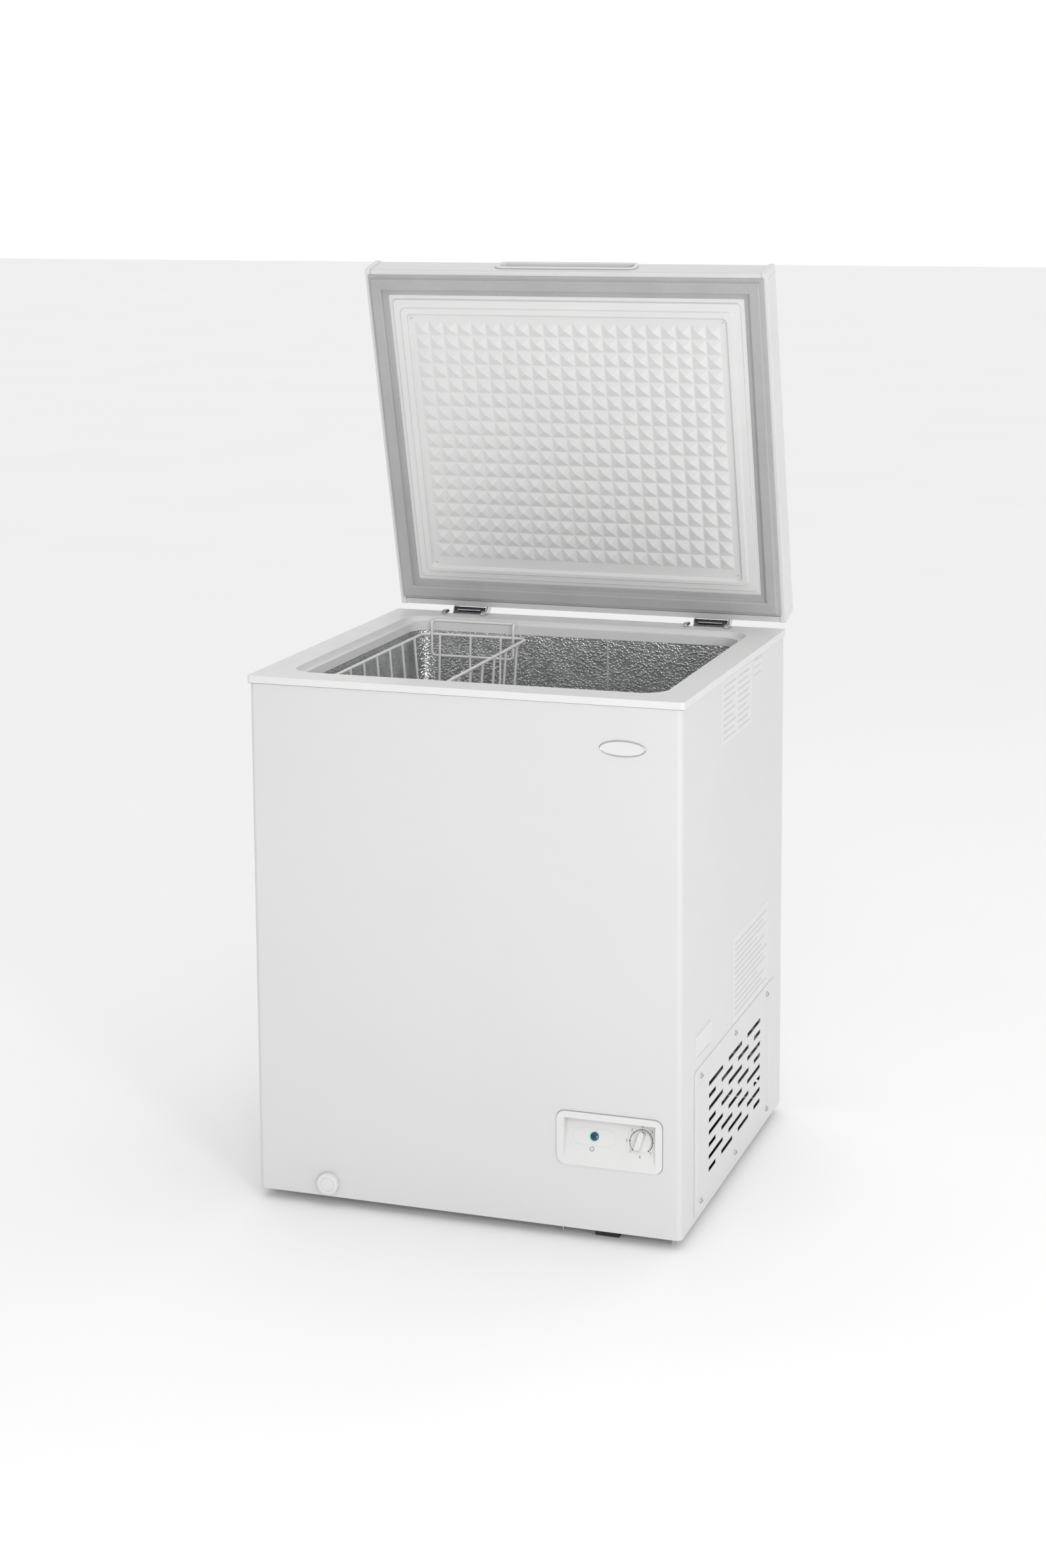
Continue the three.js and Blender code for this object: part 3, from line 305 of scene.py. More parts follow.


# Flat ink for printed marks, and also for grey lines that are painted shadow.
def print_ink(name, tone):
    p = Paint(name, (tone, tone, tone * 1.02), 0.45)
    p.mottle(p.noise(900.0, 3.0), (tone * 1.35, tone * 1.35, tone * 1.36), 0.5, 0.75)
    return p.bump(p.noise(2500.0, 2.0), 0.00001, 0.4).mat


def label_film(name="label_film", tone=0.725):
    p = Paint(name, (tone, tone, tone), 0.4)
    p.mottle(p.noise(50.0, 4.0), (tone - 0.025, tone - 0.025, tone - 0.022), 0.45, 0.7)
    return p.bump(p.noise(800.0, 3.0), 0.00002, 0.5).mat


def badge_metal():
    p = Paint("badge_metal", (0.6, 0.61, 0.63), 0.25, 1.0)
    p.mottle(p.noise(180.0, 3.0, (0.15, 1, 6.0)), (0.48, 0.49, 0.51), 0.4, 0.7)
    p.roughen(p.noise(400.0, 3.0, (0.1, 1, 6.0)), 0.08)
    return p.bump(p.noise(900.0, 2.0, (0.08, 1, 6.0)), 0.00003, 0.6).mat


def floor_paper():
    p = Paint("studio_paper", (0.97, 0.97, 0.97), 0.9, Specular_IOR_Level=0.1)
    p.mottle(p.noise(1.2, 3.0), (0.96, 0.96, 0.96), 0.4, 0.7)
    return p.bump(p.noise(60.0, 3.0), 0.0001, 0.3).mat


ENAMEL, COLLAR, WHITE, WIRE = enamel(), collar_plastic(), moulded_white(), coated_wire()
LINER_PLASTIC, VINYL, STUCCO, ZINC = lid_liner_plastic(), gasket_rubber(), stucco_aluminium(), zinc_plate()
# shaded_zinc is the zinc darkened to paint shade on the hinge link plates, which sit in the gap between the
# lid and the trim.
BRIGHT, PAINTED_SHADE_ZINC = zinc_plate("bright_zinc", 0.62, 0.14), zinc_plate("shaded_zinc", 0.16, 0.3)
SEAM_METAL = zinc_plate("seam_metal", 0.86, 0.55)
FOAM, COPPER, BLACK, RUBBER, BLACK_STEEL = foam(), copper(), black_plastic(), black_rubber(), black_enamel()
LENS, RING, INK = lamp_lens(), lamp_ring(), print_ink("print_black", 0.03)
# painted shadow: this grey draws the dark lines round the control bezel and under the collar's edge, where
# shadow falls.
SHADOW_LINE_GREY = print_ink("painted_shadow_grey", 0.3)
GREY_INK, FILM, BADGE = print_ink("print_grey", 0.56), label_film(), badge_metal()


# ------------------------------------------------------------------ building helpers
def settle(obj, body, material, matrix, replaces=()):
    """Places a new piece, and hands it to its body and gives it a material."""
    obj.matrix_world = matrix
    if material and not obj.data.materials:
        obj.data.materials.append(material)
    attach(obj, body)
    if replaces:
        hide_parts(*replaces)
    return obj


def mesh_piece(name, verts, faces, body, material, slot, matrix=CAB, replaces=(), smooth=True):
    mesh = bpy.data.meshes.new(name)
    mesh.from_pydata([tuple(c * MM for c in v) for v in verts], [], faces)
    mesh.validate()
    mesh.polygons.foreach_set("use_smooth", [smooth] * len(mesh.polygons))
    obj = bpy.data.objects.new(name, mesh)
    bpy.context.scene.collection.objects.link(obj)
    return settle(obj, body, material, matrix, replaces)


def soften(obj, width, segments=2, angle=30.0):
    """Rounds a piece's edges and weights its normals, so that flat faces stay flat."""
    if width:
        bevel = obj.modifiers.new("edges", "BEVEL")
        bevel.width = width * MM
        bevel.segments = segments
        bevel.limit_method = "ANGLE"
        bevel.angle_limit = math.radians(angle)
        bevel.use_clamp_overlap = True
    normals = obj.modifiers.new("normals", "WEIGHTED_NORMAL")
    normals.keep_sharp = True
    normals.weight = 60
    return obj


def rounded(hx, hy, r, cx=0.0, cy=0.0, n=8):
    """Points of a rounded rectangle, anticlockwise."""
    points = []
    corners = ((1, 1, 0), (-1, 1, 90), (-1, -1, 180), (1, -1, 270))
    for sx, sy, start in corners:
        for i in range(n + 1):
            a = math.radians(start + 90.0 * i / n)
            points.append((cx + sx * (hx - r) + r * math.cos(a), cy + sy * (hy - r) + r * math.sin(a)))
    return points


def loft(loops, cap_first=False, cap_last=False, closed=False):
    """Skin over rings of points, all with one count."""
    n = len(loops[0])
    verts = [p for loop in loops for p in loop]
    faces = []
    pairs = len(loops) if closed else len(loops) - 1
    for k in range(pairs):
        a, b = k * n, ((k + 1) % len(loops)) * n
        for i in range(n):
            j = (i + 1) % n
            faces.append((a + i, a + j, b + j, b + i))
    if cap_first:
        faces.append(tuple(reversed(range(n))))
    if cap_last:
        faces.append(tuple(range((len(loops) - 1) * n, len(loops) * n)))
    return verts, faces


def lathe(profile, segments=48):
    """Skin turned about Z from (radius, height) pairs; a zero radius is one point."""
    verts, rings = [], []
    for r, h in profile:
        if r < 1e-6:
            rings.append([len(verts)])
            verts.append((0.0, 0.0, h))
        else:
            rings.append(list(range(len(verts), len(verts) + segments)))
            for i in range(segments):
                a = 2 * math.pi * i / segments
                verts.append((r * math.cos(a), r * math.sin(a), h))
    faces = []
    for low, high in zip(rings, rings[1:]):
        for i in range(segments):
            j = (i + 1) % segments
            if len(low) == 1:
                faces.append((low[0], high[j], high[i]))
            elif len(high) == 1:
                faces.append((low[i], low[j], high[0]))
            else:
                faces.append((low[i], low[j], high[j], high[i]))
    return verts, faces


def facing(point, direction, matrix=CAB):
    """Frame at a point in millimetres whose Z runs along a direction."""
    turn = Vector(direction).to_track_quat("Z", "Y").to_matrix().to_4x4()
    return matrix @ Matrix.Translation(Vector(point) * MM) @ turn


def fillet(points, r, steps=6, closed=False):
    """The same path with its corners rounded."""
    out, n = [], len(points)
    for i, p in enumerate(points):
        if not closed and i in (0, n - 1):
            out.append(Vector(p))
            continue
        here, before, after = Vector(p), Vector(points[i - 1]), Vector(points[(i + 1) % n])
        reach = min(r, (before - here).length / 2.05, (after - here).length / 2.05)
        a, b = here + (before - here).normalized() * reach, here + (after - here).normalized() * reach
        for k in range(steps + 1):
            t = k / steps
            out.append(a * (1 - t) ** 2 + here * 2 * t * (1 - t) + b * t ** 2)
    return out


def wires(name, paths, radius, body, material, matrix=CAB, replaces=(), sides=4):
    """Round wires along point paths; each path is (points, closed)."""
    curve = bpy.data.curves.new(name, "CURVE")
    curve.dimensions = "3D"
    curve.bevel_depth = radius * MM
    curve.bevel_resolution = sides
    curve.use_fill_caps = True
    for points, closed in paths:
        spline = curve.splines.new("POLY")
        spline.points.add(len(points) - 1)
        for i, p in enumerate(points):
            spline.points[i].co = (p[0] * MM, p[1] * MM, p[2] * MM, 1)
        spline.use_cyclic_u = closed
        spline.use_smooth = True
    obj = bpy.data.objects.new(name, curve)
    bpy.context.scene.collection.objects.link(obj)
    return settle(obj, body, material, matrix, replaces)


def sheet(name, outlines, thick, bevel, body, material, matrix, replaces=()):
    """Flat plate in its own XY from closed outlines, the inner ones holes, standing on z = 0."""
    curve = bpy.data.curves.new(name, "CURVE")
    curve.dimensions = "2D"
    curve.fill_mode = "BOTH"
    curve.extrude = (thick / 2 - bevel) * MM
    curve.bevel_depth = bevel * MM
    curve.bevel_resolution = 2
    for outline in outlines:
        spline = curve.splines.new("POLY")
        spline.points.add(len(outline) - 1)
        for i, (x, y) in enumerate(outline):
            spline.points[i].co = (x * MM, y * MM, 0, 1)
        spline.use_cyclic_u = True
    obj = bpy.data.objects.new(name, curve)
    bpy.context.scene.collection.objects.link(obj)
    return settle(obj, body, material, matrix @ Matrix.Translation((0, 0, thick / 2 * MM)), replaces)


def dress(node, material, bevel=0.0, segments=2, angle=35.0):
    """Gives a carried-over model node its material and softened edges."""
    obj = NODES[node]
    obj.data.materials.clear()
    obj.data.materials.append(material)
    obj.data.polygons.foreach_set("material_index", [0] * len(obj.data.polygons))
    obj.data.polygons.foreach_set("use_smooth", [True] * len(obj.data.polygons))
    weld = obj.modifiers.new("weld", "WELD")
    weld.merge_threshold = 0.00002
    return soften(obj, bevel, segments, angle)


def lid_point(x, u, w):
    """Point of the closed lid: u from its rear edge to its front edge, w up from its rim."""
    return (x, LID_REAR - u, LID["rim"] + w)


def lid_ring(half_x, u0, u1, r, w, n=8):
    """Rounded rectangle in the closed lid, u0 to u1 from its rear edge and w up from its rim."""
    points = rounded(half_x, (u1 - u0) / 2, r, 0.0, LID_REAR - (u0 + u1) / 2, n)
    return [(x, y, LID["rim"] + w) for x, y in points]


# ------------------------------------------------------------------ lid
def pyramid_edges(count, middle):
    """Both feet of each pyramid along one row, with the flat valleys between them left out."""
    pitch, valley = PYRAMID["pitch"], PYRAMID["valley"]
    edges = []
    for i in range(count):
        edges += [middle + (i - count / 2) * pitch + valley, middle + (i + 1 - count / 2) * pitch - valley]
    return edges


def build_lid_liner():
    # Half width, rear edge, front edge, corner radius and height of each ring, from the flange inwards.
    steps = (
        (281.0, 43.6, 518.0, 4.0, 1.6), (281.0, 43.6, 518.0, 4.0, -0.2), (280.3, 44.3, 517.3, 4.0, -1.0),
        (274.6, 50.0, 511.6, 5.0, -1.2), (273.6, 51.0, 510.6, 6.0, -1.7), (273.0, 51.6, 510.0, 7.0, -4.2),
        (272.2, 52.4, 509.2, 8.0, -5.0), (262.6, 60.2, 498.6, 9.0, -5.2), (261.8, 61.0, 497.8, 9.0, -5.6),
        (261.2, 61.6, 497.2, 9.0, -7.4), (260.4, 62.4, 496.4, 9.0, -8.0), (253.4, 67.0, 488.6, 8.0, -8.0),
        (252.2, 68.2, 487.4, 8.0, -7.3), (251.4, 69.2, 486.6, 7.0, -3.8), (250.4, 70.4, 485.4, 6.0, -3.0),
        (LINER_PAN["half_w"], LINER_PAN["rear"], LINER_PAN["front"], 3.0, -3.0),
    )
    verts, faces = loft([lid_ring(*step) for step in steps])
    base, peak = PYRAMID["base"], PYRAMID["base"] - PYRAMID["height"]
    xs = [-LINER_PAN["half_w"]] + pyramid_edges(PYRAMID["across"], 0.0) + [LINER_PAN["half_w"]]
    us = [LINER_PAN["rear"]] + pyramid_edges(PYRAMID["along"], LINER_PAN["middle"]) + [LINER_PAN["front"]]
    start, columns = len(verts), len(xs)
    for u in us:
        verts += [lid_point(x, u, base) for x in xs]
    for j in range(len(us) - 1):
        for i in range(columns - 1):
            a = start + j * columns + i
            quad = (a, a + 1, a + columns + 1, a + columns)
            if i % 2 == 1 and j % 2 == 1 and i < columns - 2 and j < len(us) - 2:
                top = len(verts)
                verts.append(lid_point((xs[i] + xs[i + 1]) / 2, (us[j] + us[j + 1]) / 2, peak))
                faces += [(quad[k], quad[(k + 1) % 4], top) for k in range(4)]
            else:
                faces.append(quad)
    piece = mesh_piece("lid_liner_panel", verts, faces, "lid", LINER_PLASTIC, "white_plastic", LID_M,
                       ("lid_liner",))
    soften(piece, 0.55, 2, 12.0)


def gasket_edges(d):
    """Half width, rear edge and front edge of the gasket, d in from its rim."""
    rear = GASKET["rear"] + d * GASKET["rear_slope"]
    front = GASKET["front"] - d * GASKET["front_slope"]
    return GASKET["half_w"] - d, rear, front


def build_gasket():
    flank = [(0.0, -0.5), (0.0, -2.2), (0.8, -3.0), (4.4, -3.3)]
    bellows = [(5.4, -4.4), (5.1, -7.8), (5.8, -9.0), (7.2, -9.55), (19.6, -9.55), (21.0, -9.0),
               (21.7, -7.6), (21.3, -4.8), (22.2, -3.5)]
    lip = [(23.4, -3.1), (27.0, -2.8), (29.4, -2.5), (30.4, -1.9), (30.2, -1.25), (28.4, -0.5)]
    loops = []
    for d, w in flank + bellows + lip:
        x, u0, u1 = gasket_edges(d)
        loops.append([lid_point(x, u0, w), lid_point(x, u1, w), lid_point(-x, u1, w), lid_point(-x, u0, w)])
    verts, faces = loft(loops, closed=True)
    piece = mesh_piece("door_gasket", verts, faces, "lid", VINYL, "grey_rubber", LID_M, ("lid_gasket",),
                       smooth=False)
    bevel = piece.modifiers.new("folds", "BEVEL")
    bevel.width = 0.35 * MM
    bevel.segments = 2
    bevel.limit_method = "ANGLE"
    bevel.angle_limit = math.radians(20)
    paths = []
    for side in (-1, 1):
        for end in (0, 1):
            points = []
            for d, w in bellows:
                x, *ends = gasket_edges(d)
                points.append(lid_point(side * x, ends[end], w - 0.02))
            paths.append((points, False))
    wires("gasket_corner_welds", paths, 0.28, "lid", VINYL, LID_M)


def build_handle():
    # Growth of the pocket's outline, corner radius, and distance out from the lid's front edge.
    steps = (
        (-0.4, 12.0, 0.3), (0.0, 12.4, 0.9), (0.0, 12.4, 1.5), (-0.5, 12.0, 2.1), (-1.4, 11.2, 2.3),
        (-5.2, 8.0, 2.3), (-6.2, 7.4, 1.9), (-6.9, 7.2, 0.8), (-7.1, 7.1, -9.0), (-8.0, 6.8, -12.4),
        (-10.4, 5.0, -13.9), (-13.5, 2.4, -14.0),
    )
    rings = []
    for grow, r, out in steps:
        outline = rounded(HANDLE["half_w"] + grow, HANDLE["half_h"] + grow, r, 0.0, HANDLE["middle"], 10)
        rings.append([lid_point(x, LID["length"] + out, w) for x, w in outline])
    verts, faces = loft(rings, cap_last=True)
    piece = mesh_piece("handle_cup", verts, faces, "lid", WHITE, "white_plastic", LID_M, ("lid_handle",))
    soften(piece, 0.0)


def build_lid():
    build_lid_liner()
    build_gasket()
    build_handle()
    dress("lid_skin", ENAMEL, 0.5, 2)
    dress("lid_front_profile", WHITE, 0.5, 2)
    dress("lid_side_rail_left", WHITE, 1.3, 3)
    dress("lid_side_rail_right", WHITE, 1.3, 3)
    dress("lid_foam", FOAM)
    joint = 9.5
    for side, label in ((-1, "left"), (1, "right")):
        x = side * (LID["half_w"] + 0.02)
        for u, end in ((LID["length"] - joint, "front"), (joint, "rear")):
            path = [lid_point(x, u, w) for w in (1.5, LID["height"] - 1.0)]
            wires(f"rail_joint_{label}_{end}", [(path, False)], 0.22, "lid", GREY_INK, LID_M)


# ------------------------------------------------------------------ hinges
def build_screw(name, point, direction, body, matrix=CAB, r=4.2, replaces=(), metal=None):
    """Domed screw with a flat dark cross on its head, a black face that paints the shade of a driver recess.
    """
    profile = ((0.0, -6.4), (0.45, -6.0), (0.45, 0.0), (1.0, 0.0), (0.97, 0.7), (0.86, 1.45), (0.62, 2.05),
               (0.3, 2.32), (0.0, 2.35))
    verts, faces = lathe([(r * share, height) for share, height in profile], 32)
    arm, half, top = r * 0.52, 0.42, 2.42
    cross = [(half, half), (half, arm), (-half, arm), (-half, half), (-arm, half), (-arm, -half),
             (-half, -half), (-half, -arm), (half, -arm), (half, -half), (arm, -half), (arm, half)]
    faces.append(tuple(range(len(verts), len(verts) + len(cross))))
    verts += [(x, y, top) for x, y in cross]
    at = facing(point, direction, matrix)
    piece = mesh_piece(name, verts, faces, body, metal or BRIGHT, "zinc", at, replaces)
    # painted shade: the flat cross takes black plastic in place of a recess
    piece.data.materials.append(BLACK)
    piece.data.polygons[len(piece.data.polygons) - 1].material_index = 1
    soften(piece, 0.0)


def prism(name, section, x0, x1, body, material, matrix=CAB, bevel=0.5, slot="zinc"):
    """Bar along X with a (y, z) outline."""
    rings = [[(x, y, z) for y, z in section] for x in (x0, x1)]
    verts, faces = loft(rings, cap_first=True, cap_last=True)
    soften(mesh_piece(name, verts, faces, body, material, slot, matrix), bevel, 3, 25.0)


def build_hinge_link(label, x):
    """Link plate between the pin and the lid's rear edge, its tie rod, and the ears' turned lips."""
    plate = [(275.6, TOP - 1.4), (267.6, TOP + 9.6), (268.8, TOP + 10.5), (276.8, TOP - 0.5)]
    # painted shade: the link plate takes the darkened zinc
    prism(f"hinge_{label}_link", plate, x - 26.0, x + 26.0, "lid", PAINTED_SHADE_ZINC, LID_M, 0.3)
    rod = [(x - 19.0, 270.2, TOP + 2.6), (x + 19.0, 270.2, TOP + 2.6)]
    wires(f"hinge_{label}_tie_rod", [(rod, False)], 1.5, "lid", BRIGHT, LID_M)
    lip = [(262.5, TOP + 0.3), (262.8, TOP + 2.0), (266.5, TOP + 5.2), (277.5, TOP + 5.6), (283.0, TOP + 3.4),
           (283.4, TOP + 0.3)]
    for near, far, side in ((-36.0, -29.2, "left"), (29.2, 36.0, "right")):
        prism(f"hinge_{label}_lip_{side}", lip, x + near, x + far, "cabinet", BRIGHT, CAB, 1.2)


def build_hinge_spring(label, x):
    turns, r, length, steps = SPRING["turns"], SPRING["r"], SPRING["length"], SPRING["steps"]
    coil = []
    for i in range(turns * steps + 1):
        a = 2 * math.pi * i / steps
        along = x - length / 2 + length * i / (turns * steps)
        coil.append((along, PIVOT[0] + r * math.cos(a), PIVOT[1] + r * math.sin(a)))
    end = coil[-1]
    coil.append((end[0] + 0.3, end[1] + 0.2, end[2] - 9.0))
    wires(f"hinge_{label}_coil", [(coil, False)], SPRING["wire"], "cabinet", BRIGHT, CAB,
          (f"hinge_{label}_spring",), 3)


def build_hinges():
    for side, label in ((-1, "left"), (1, "right")):
        x = side * HINGE_X
        dress(f"hinge_{label}_base", BRIGHT, 0.45, 2)
        dress(f"hinge_{label}_arm", BRIGHT, 0.45, 2)
        dress(f"hinge_{label}_pin", BRIGHT, 0.3, 2)
        build_hinge_spring(label, x)
        build_hinge_link(label, x)
        pocket = [(287.0, TOP - 27.9), (273.7, TOP - 27.9), (273.7, TOP - 11.7), (274.5, TOP - 11.7),
                  (274.5, TOP - 27.2), (287.0, TOP - 27.2)]
        prism(f"hinge_{label}_pocket", pocket, x - 33.6, x + 33.6, "cabinet", WHITE, CAB, 0.2,
              "white_plastic")
        for i, (dx, up) in enumerate(((-16.0, 24.0), (-16.0, 42.0), (16.0, 24.0), (16.0, 42.0))):
            point = (x + dx, LID_REAR + 2.3, TOP + up)
            build_screw(f"lid_leaf_screw_{label}_{i + 1}", point, (0, 1, 0), "lid", LID_M, 3.6)
    places = [side * HINGE_X + dx for side in (-1, 1) for dx in (-18.0, 18.0)]
    for i, x in enumerate(places):
        point = (x, HALF_D + 2.6, TOP - 52.0)
        build_screw(f"hinge_base_screw_{i + 1}", point, (0, 1, 0), "cabinet",
                    replaces=(f"hinge_screw_{i + 1}",))


# ------------------------------------------------------------------ basket
def build_basket():
    rim, inset, depth, corner = BASKET["rim"], BASKET["inset"], BASKET["half_d"], BASKET["corner"]
    left, right = BASKET["left"], BASKET["right"]
    low, middle, half = rim - BASKET["height"], (left + right) / 2, (right - left) / 2
    hoops = [([(x, y, rim) for x, y in rounded(half, depth, corner, middle)], True),
             ([(x, y, low) for x, y in rounded(half - inset, depth - inset, corner, middle)], True)]
    wires("basket_frame", hoops, 2.4, "basket", WIRE, CAB, ("wire_basket",), 5)
    across = [(i - (BASKET["across"] - 1) / 2) * BASKET["pitch"] for i in range(BASKET["across"])]
    hook = 1.2
    fine = []
    for y in across:
        path = [(left + hook, y, rim + 1.0), (left + inset, y, low), (right - inset, y, low),
                (right - hook, y, rim + 1.0)]
        fine.append((fillet(path, 9.0), False))
    for x in BASKET["along"]:
        path = [(x, hook - depth, rim + 1.0), (x, inset - depth, low + 2.5), (x, depth - inset, low + 2.5),
                (x, depth - hook, rim + 1.0)]
        fine.append((fillet(path, 9.0), False))
    wires("basket_wires", fine, 1.9, "basket", WIRE)
    x0, x1 = BASKET["hanger"]
    top, dip = TOP - 5.7, rim - 33.0
    loops = []
    for end in (-1, 1):
        leg, rest = (depth - 3.0) * end, BASKET["rest"] * end
        path = [(x0, rest, top), (x0, leg, top), (x0, leg, dip), (x1, leg, dip), (x1, leg, top),
                (x1, rest, top)]
        loops.append((fillet(path, 7.0, 5, True), True))
    wires("basket_hangers", loops, 2.1, "basket", WIRE, CAB, (), 5)
    welds = []
    for y in across:
        for x in (left + 1.0, right - 1.0):
            welds.append(([(x, y, rim - 4.0), (x, y, rim + 1.2)], False))
    wires("basket_weld_beads", welds, 2.3, "basket", WIRE, CAB, (), 3)


# ------------------------------------------------------------------ control panel
OUTWARD = Matrix.Rotation(math.pi / 2, 4, "X")


def on_face(x, z, out=0.0):
    """Point on the panel's tilted face, out towards the front."""
    return (x, -out, z)


def face_frame(x, z, out=0.0):
    return FACE_M @ Matrix.Translation(Vector(on_face(x, z, out)) * MM)


def stroke(name, points, half_widths):
    """Printed line on the panel's face, with a half width for each of its points."""
    verts, faces = [], []
    for i, ((x, z), half) in enumerate(zip(points, half_widths)):
        ax, az = points[max(i - 1, 0)]
        bx, bz = points[min(i + 1, len(points) - 1)]
        length = math.hypot(bx - ax, bz - az)
        nx, nz = -(bz - az) / length, (bx - ax) / length
        verts += [on_face(x + nx * half, z + nz * half, 0.06), on_face(x - nx * half, z - nz * half, 0.06)]
        if i:
            a = 2 * i
            faces.append((a - 2, a - 1, a + 1, a))
    mesh_piece(name, verts, faces, "cabinet", INK, "white_plastic", FACE_M, smooth=False)


def dial_point(mark, radius):
    """Place of a dial mark, 0 straight down and each next one 45 degrees clockwise."""
    a = math.radians(180.0 + 45.0 * mark)
    return DIAL["x"] + radius * math.sin(a), DIAL["z"] + radius * math.cos(a)


def build_digit(mark):
    name = f"dial_digit_{mark}"
    text = bpy.data.curves.new(name, "FONT")
    text.body = str(mark)
    text.size = 4.6 * MM
    text.align_x = "CENTER"
    text.align_y = "CENTER"
    text.extrude = 0.02 * MM
    text.offset = 0.05 * MM
    obj = bpy.data.objects.new(name, text)
    bpy.context.scene.collection.objects.link(obj)
    x, z = dial_point(mark, DIAL["digit_r"])
    settle(obj, "cabinet", INK, face_frame(x, z, 0.05) @ OUTWARD)


def build_dot(mark):
    x, z = dial_point(mark, DIAL["ring_r"])
    r, sides = DIAL["dot_r"], 20
    turns = [2 * math.pi * k / sides for k in range(sides)]
    disc = [on_face(x + r * math.cos(a), z + r * math.sin(a), 0.08) for a in turns]
    mesh_piece(f"dial_dot_{mark}", disc, [tuple(range(sides))], "cabinet", INK, "white_plastic", FACE_M,
               smooth=False)


def build_dial():
    """Digits round the knob, dots between them and the ring, and arcs that widen towards the coldest."""
    for mark in range(DIAL["marks"]):
        build_digit(mark)
        if mark:
            build_dot(mark)
        if 0 < mark < DIAL["marks"] - 1:
            parts = [mark + 0.12 + 0.76 * k / 12 for k in range(13)]
            widths = [0.22 + 0.05 * part for part in parts]
            stroke(f"dial_arc_{mark}", [dial_point(part, DIAL["ring_r"]) for part in parts], widths)


def build_power_symbol():
    turns = [math.radians(a) for a in range(38, 323, 12)]
    ring = [(POWER["x"] + POWER["r"] * math.sin(a), POWER["z"] + POWER["r"] * math.cos(a)) for a in turns]
    stroke("power_symbol_ring", ring, [0.36] * len(ring))
    bar = [(POWER["x"], POWER["z"] + 0.6), (POWER["x"], POWER["z"] + 3.6)]
    stroke("power_symbol_bar", bar, [0.36] * 2)


def build_lamp():
    oval = [on_face(LAMP["x"] + x, LAMP["z"] + z, 0.02) for x, z in rounded(31.0, 11.5, 11.4, 0.0, -1.0, 12)]
    wires("lamp_oval_outline", [(oval, True)], 0.28, "cabinet", WHITE, FACE_M, (), 2)
    r = LAMP["r"]
    at = face_frame(LAMP["x"], LAMP["z"]) @ OUTWARD
    lens = [(0.0, -8.0), (r, -8.0), (r, 0.2), (r - 0.4, 0.75), (r - 1.5, 1.25), (2.4, 1.6), (0.0, 1.7)]
    mesh_piece("power_lamp_lens", *lathe(lens), "cabinet", LENS, "lamp_lens", at, ("power_lamp",))
    ring = [(r + 0.05, 0.0), (r + 1.0, 0.0), (r + 1.0, 0.25), (r + 0.5, 0.5), (r + 0.05, 0.42)]
    mesh_piece("power_lamp_ring", *lathe(ring), "cabinet", RING, "lamp_lens", at)


def build_panel():
    dress("control_bezel", WHITE, 0.9, 3)
    dress("thermostat", BLACK, 0.4)
    dress("thermostat_shaft", ZINC, 0.2)
    at = CAB @ Matrix.Translation((PANEL["x"] * MM, (-HALF_D - 0.25) * MM, PANEL["z"] * MM))
    # painted shadow: a thin dark grey line round the bezel stands in for the shadow its raised edge casts on
    # the front
    outline = rounded(PANEL["shadow_line_half_w"], PANEL["shadow_line_half_h"], PANEL["corner"], n=10)
    shadow_outline = [(x, 0, z) for x, z in outline]
    wires("bezel_shadow_line", [(shadow_outline, True)], 0.35, "cabinet", SHADOW_LINE_GREY, at, (), 2)
    build_dial()
    build_power_symbol()
    build_lamp()


def knob_grip():
    """Rings of the knob's grip, a bar with round ends that narrows towards its top."""
    r, steps = DIAL["r"], 12
    levels = ((2.8, 4.3, r - 0.5), (9.0, 4.1, r - 0.55), (12.8, 3.9, r - 0.7), (13.6, 3.6, r - 1.0),
              (13.95, 2.9, r - 1.7))
    rings = []
    for height, half, reach in levels:
        ring = []
        for sign in (1, -1):
            for i in range(steps + 1):
                y = sign * (1 - 2 * i / steps) * reach
                bulge = math.sqrt(max(reach * reach - y * y, 0.0))
                ring.append((sign * min(half, bulge), y, height))
        rings.append(ring)
    return rings


def build_knob():
    r = DIAL["r"]
    disc = [(0.0, 0.35), (r - 0.6, 0.35), (r, 0.9), (r, 2.4), (r - 0.3, 2.9), (r - 1.0, 3.1), (0.0, 3.3)]
    verts, faces = lathe(disc, 64)
    grip_verts, grip_faces = loft(knob_grip(), cap_last=True)
    n = len(verts)
    verts += grip_verts
    faces += [tuple(i + n for i in face) for face in grip_faces]
    matrix = face_frame(DIAL["x"], DIAL["z"]) @ Matrix.Rotation(math.radians(DIAL["turn"]), 4, "Y") @ OUTWARD
    piece = mesh_piece("thermostat_knob", verts, faces, "knob", WHITE, "white_plastic", matrix,
                       ("control_knob",))
    soften(piece, 0.35, 2, 40.0)


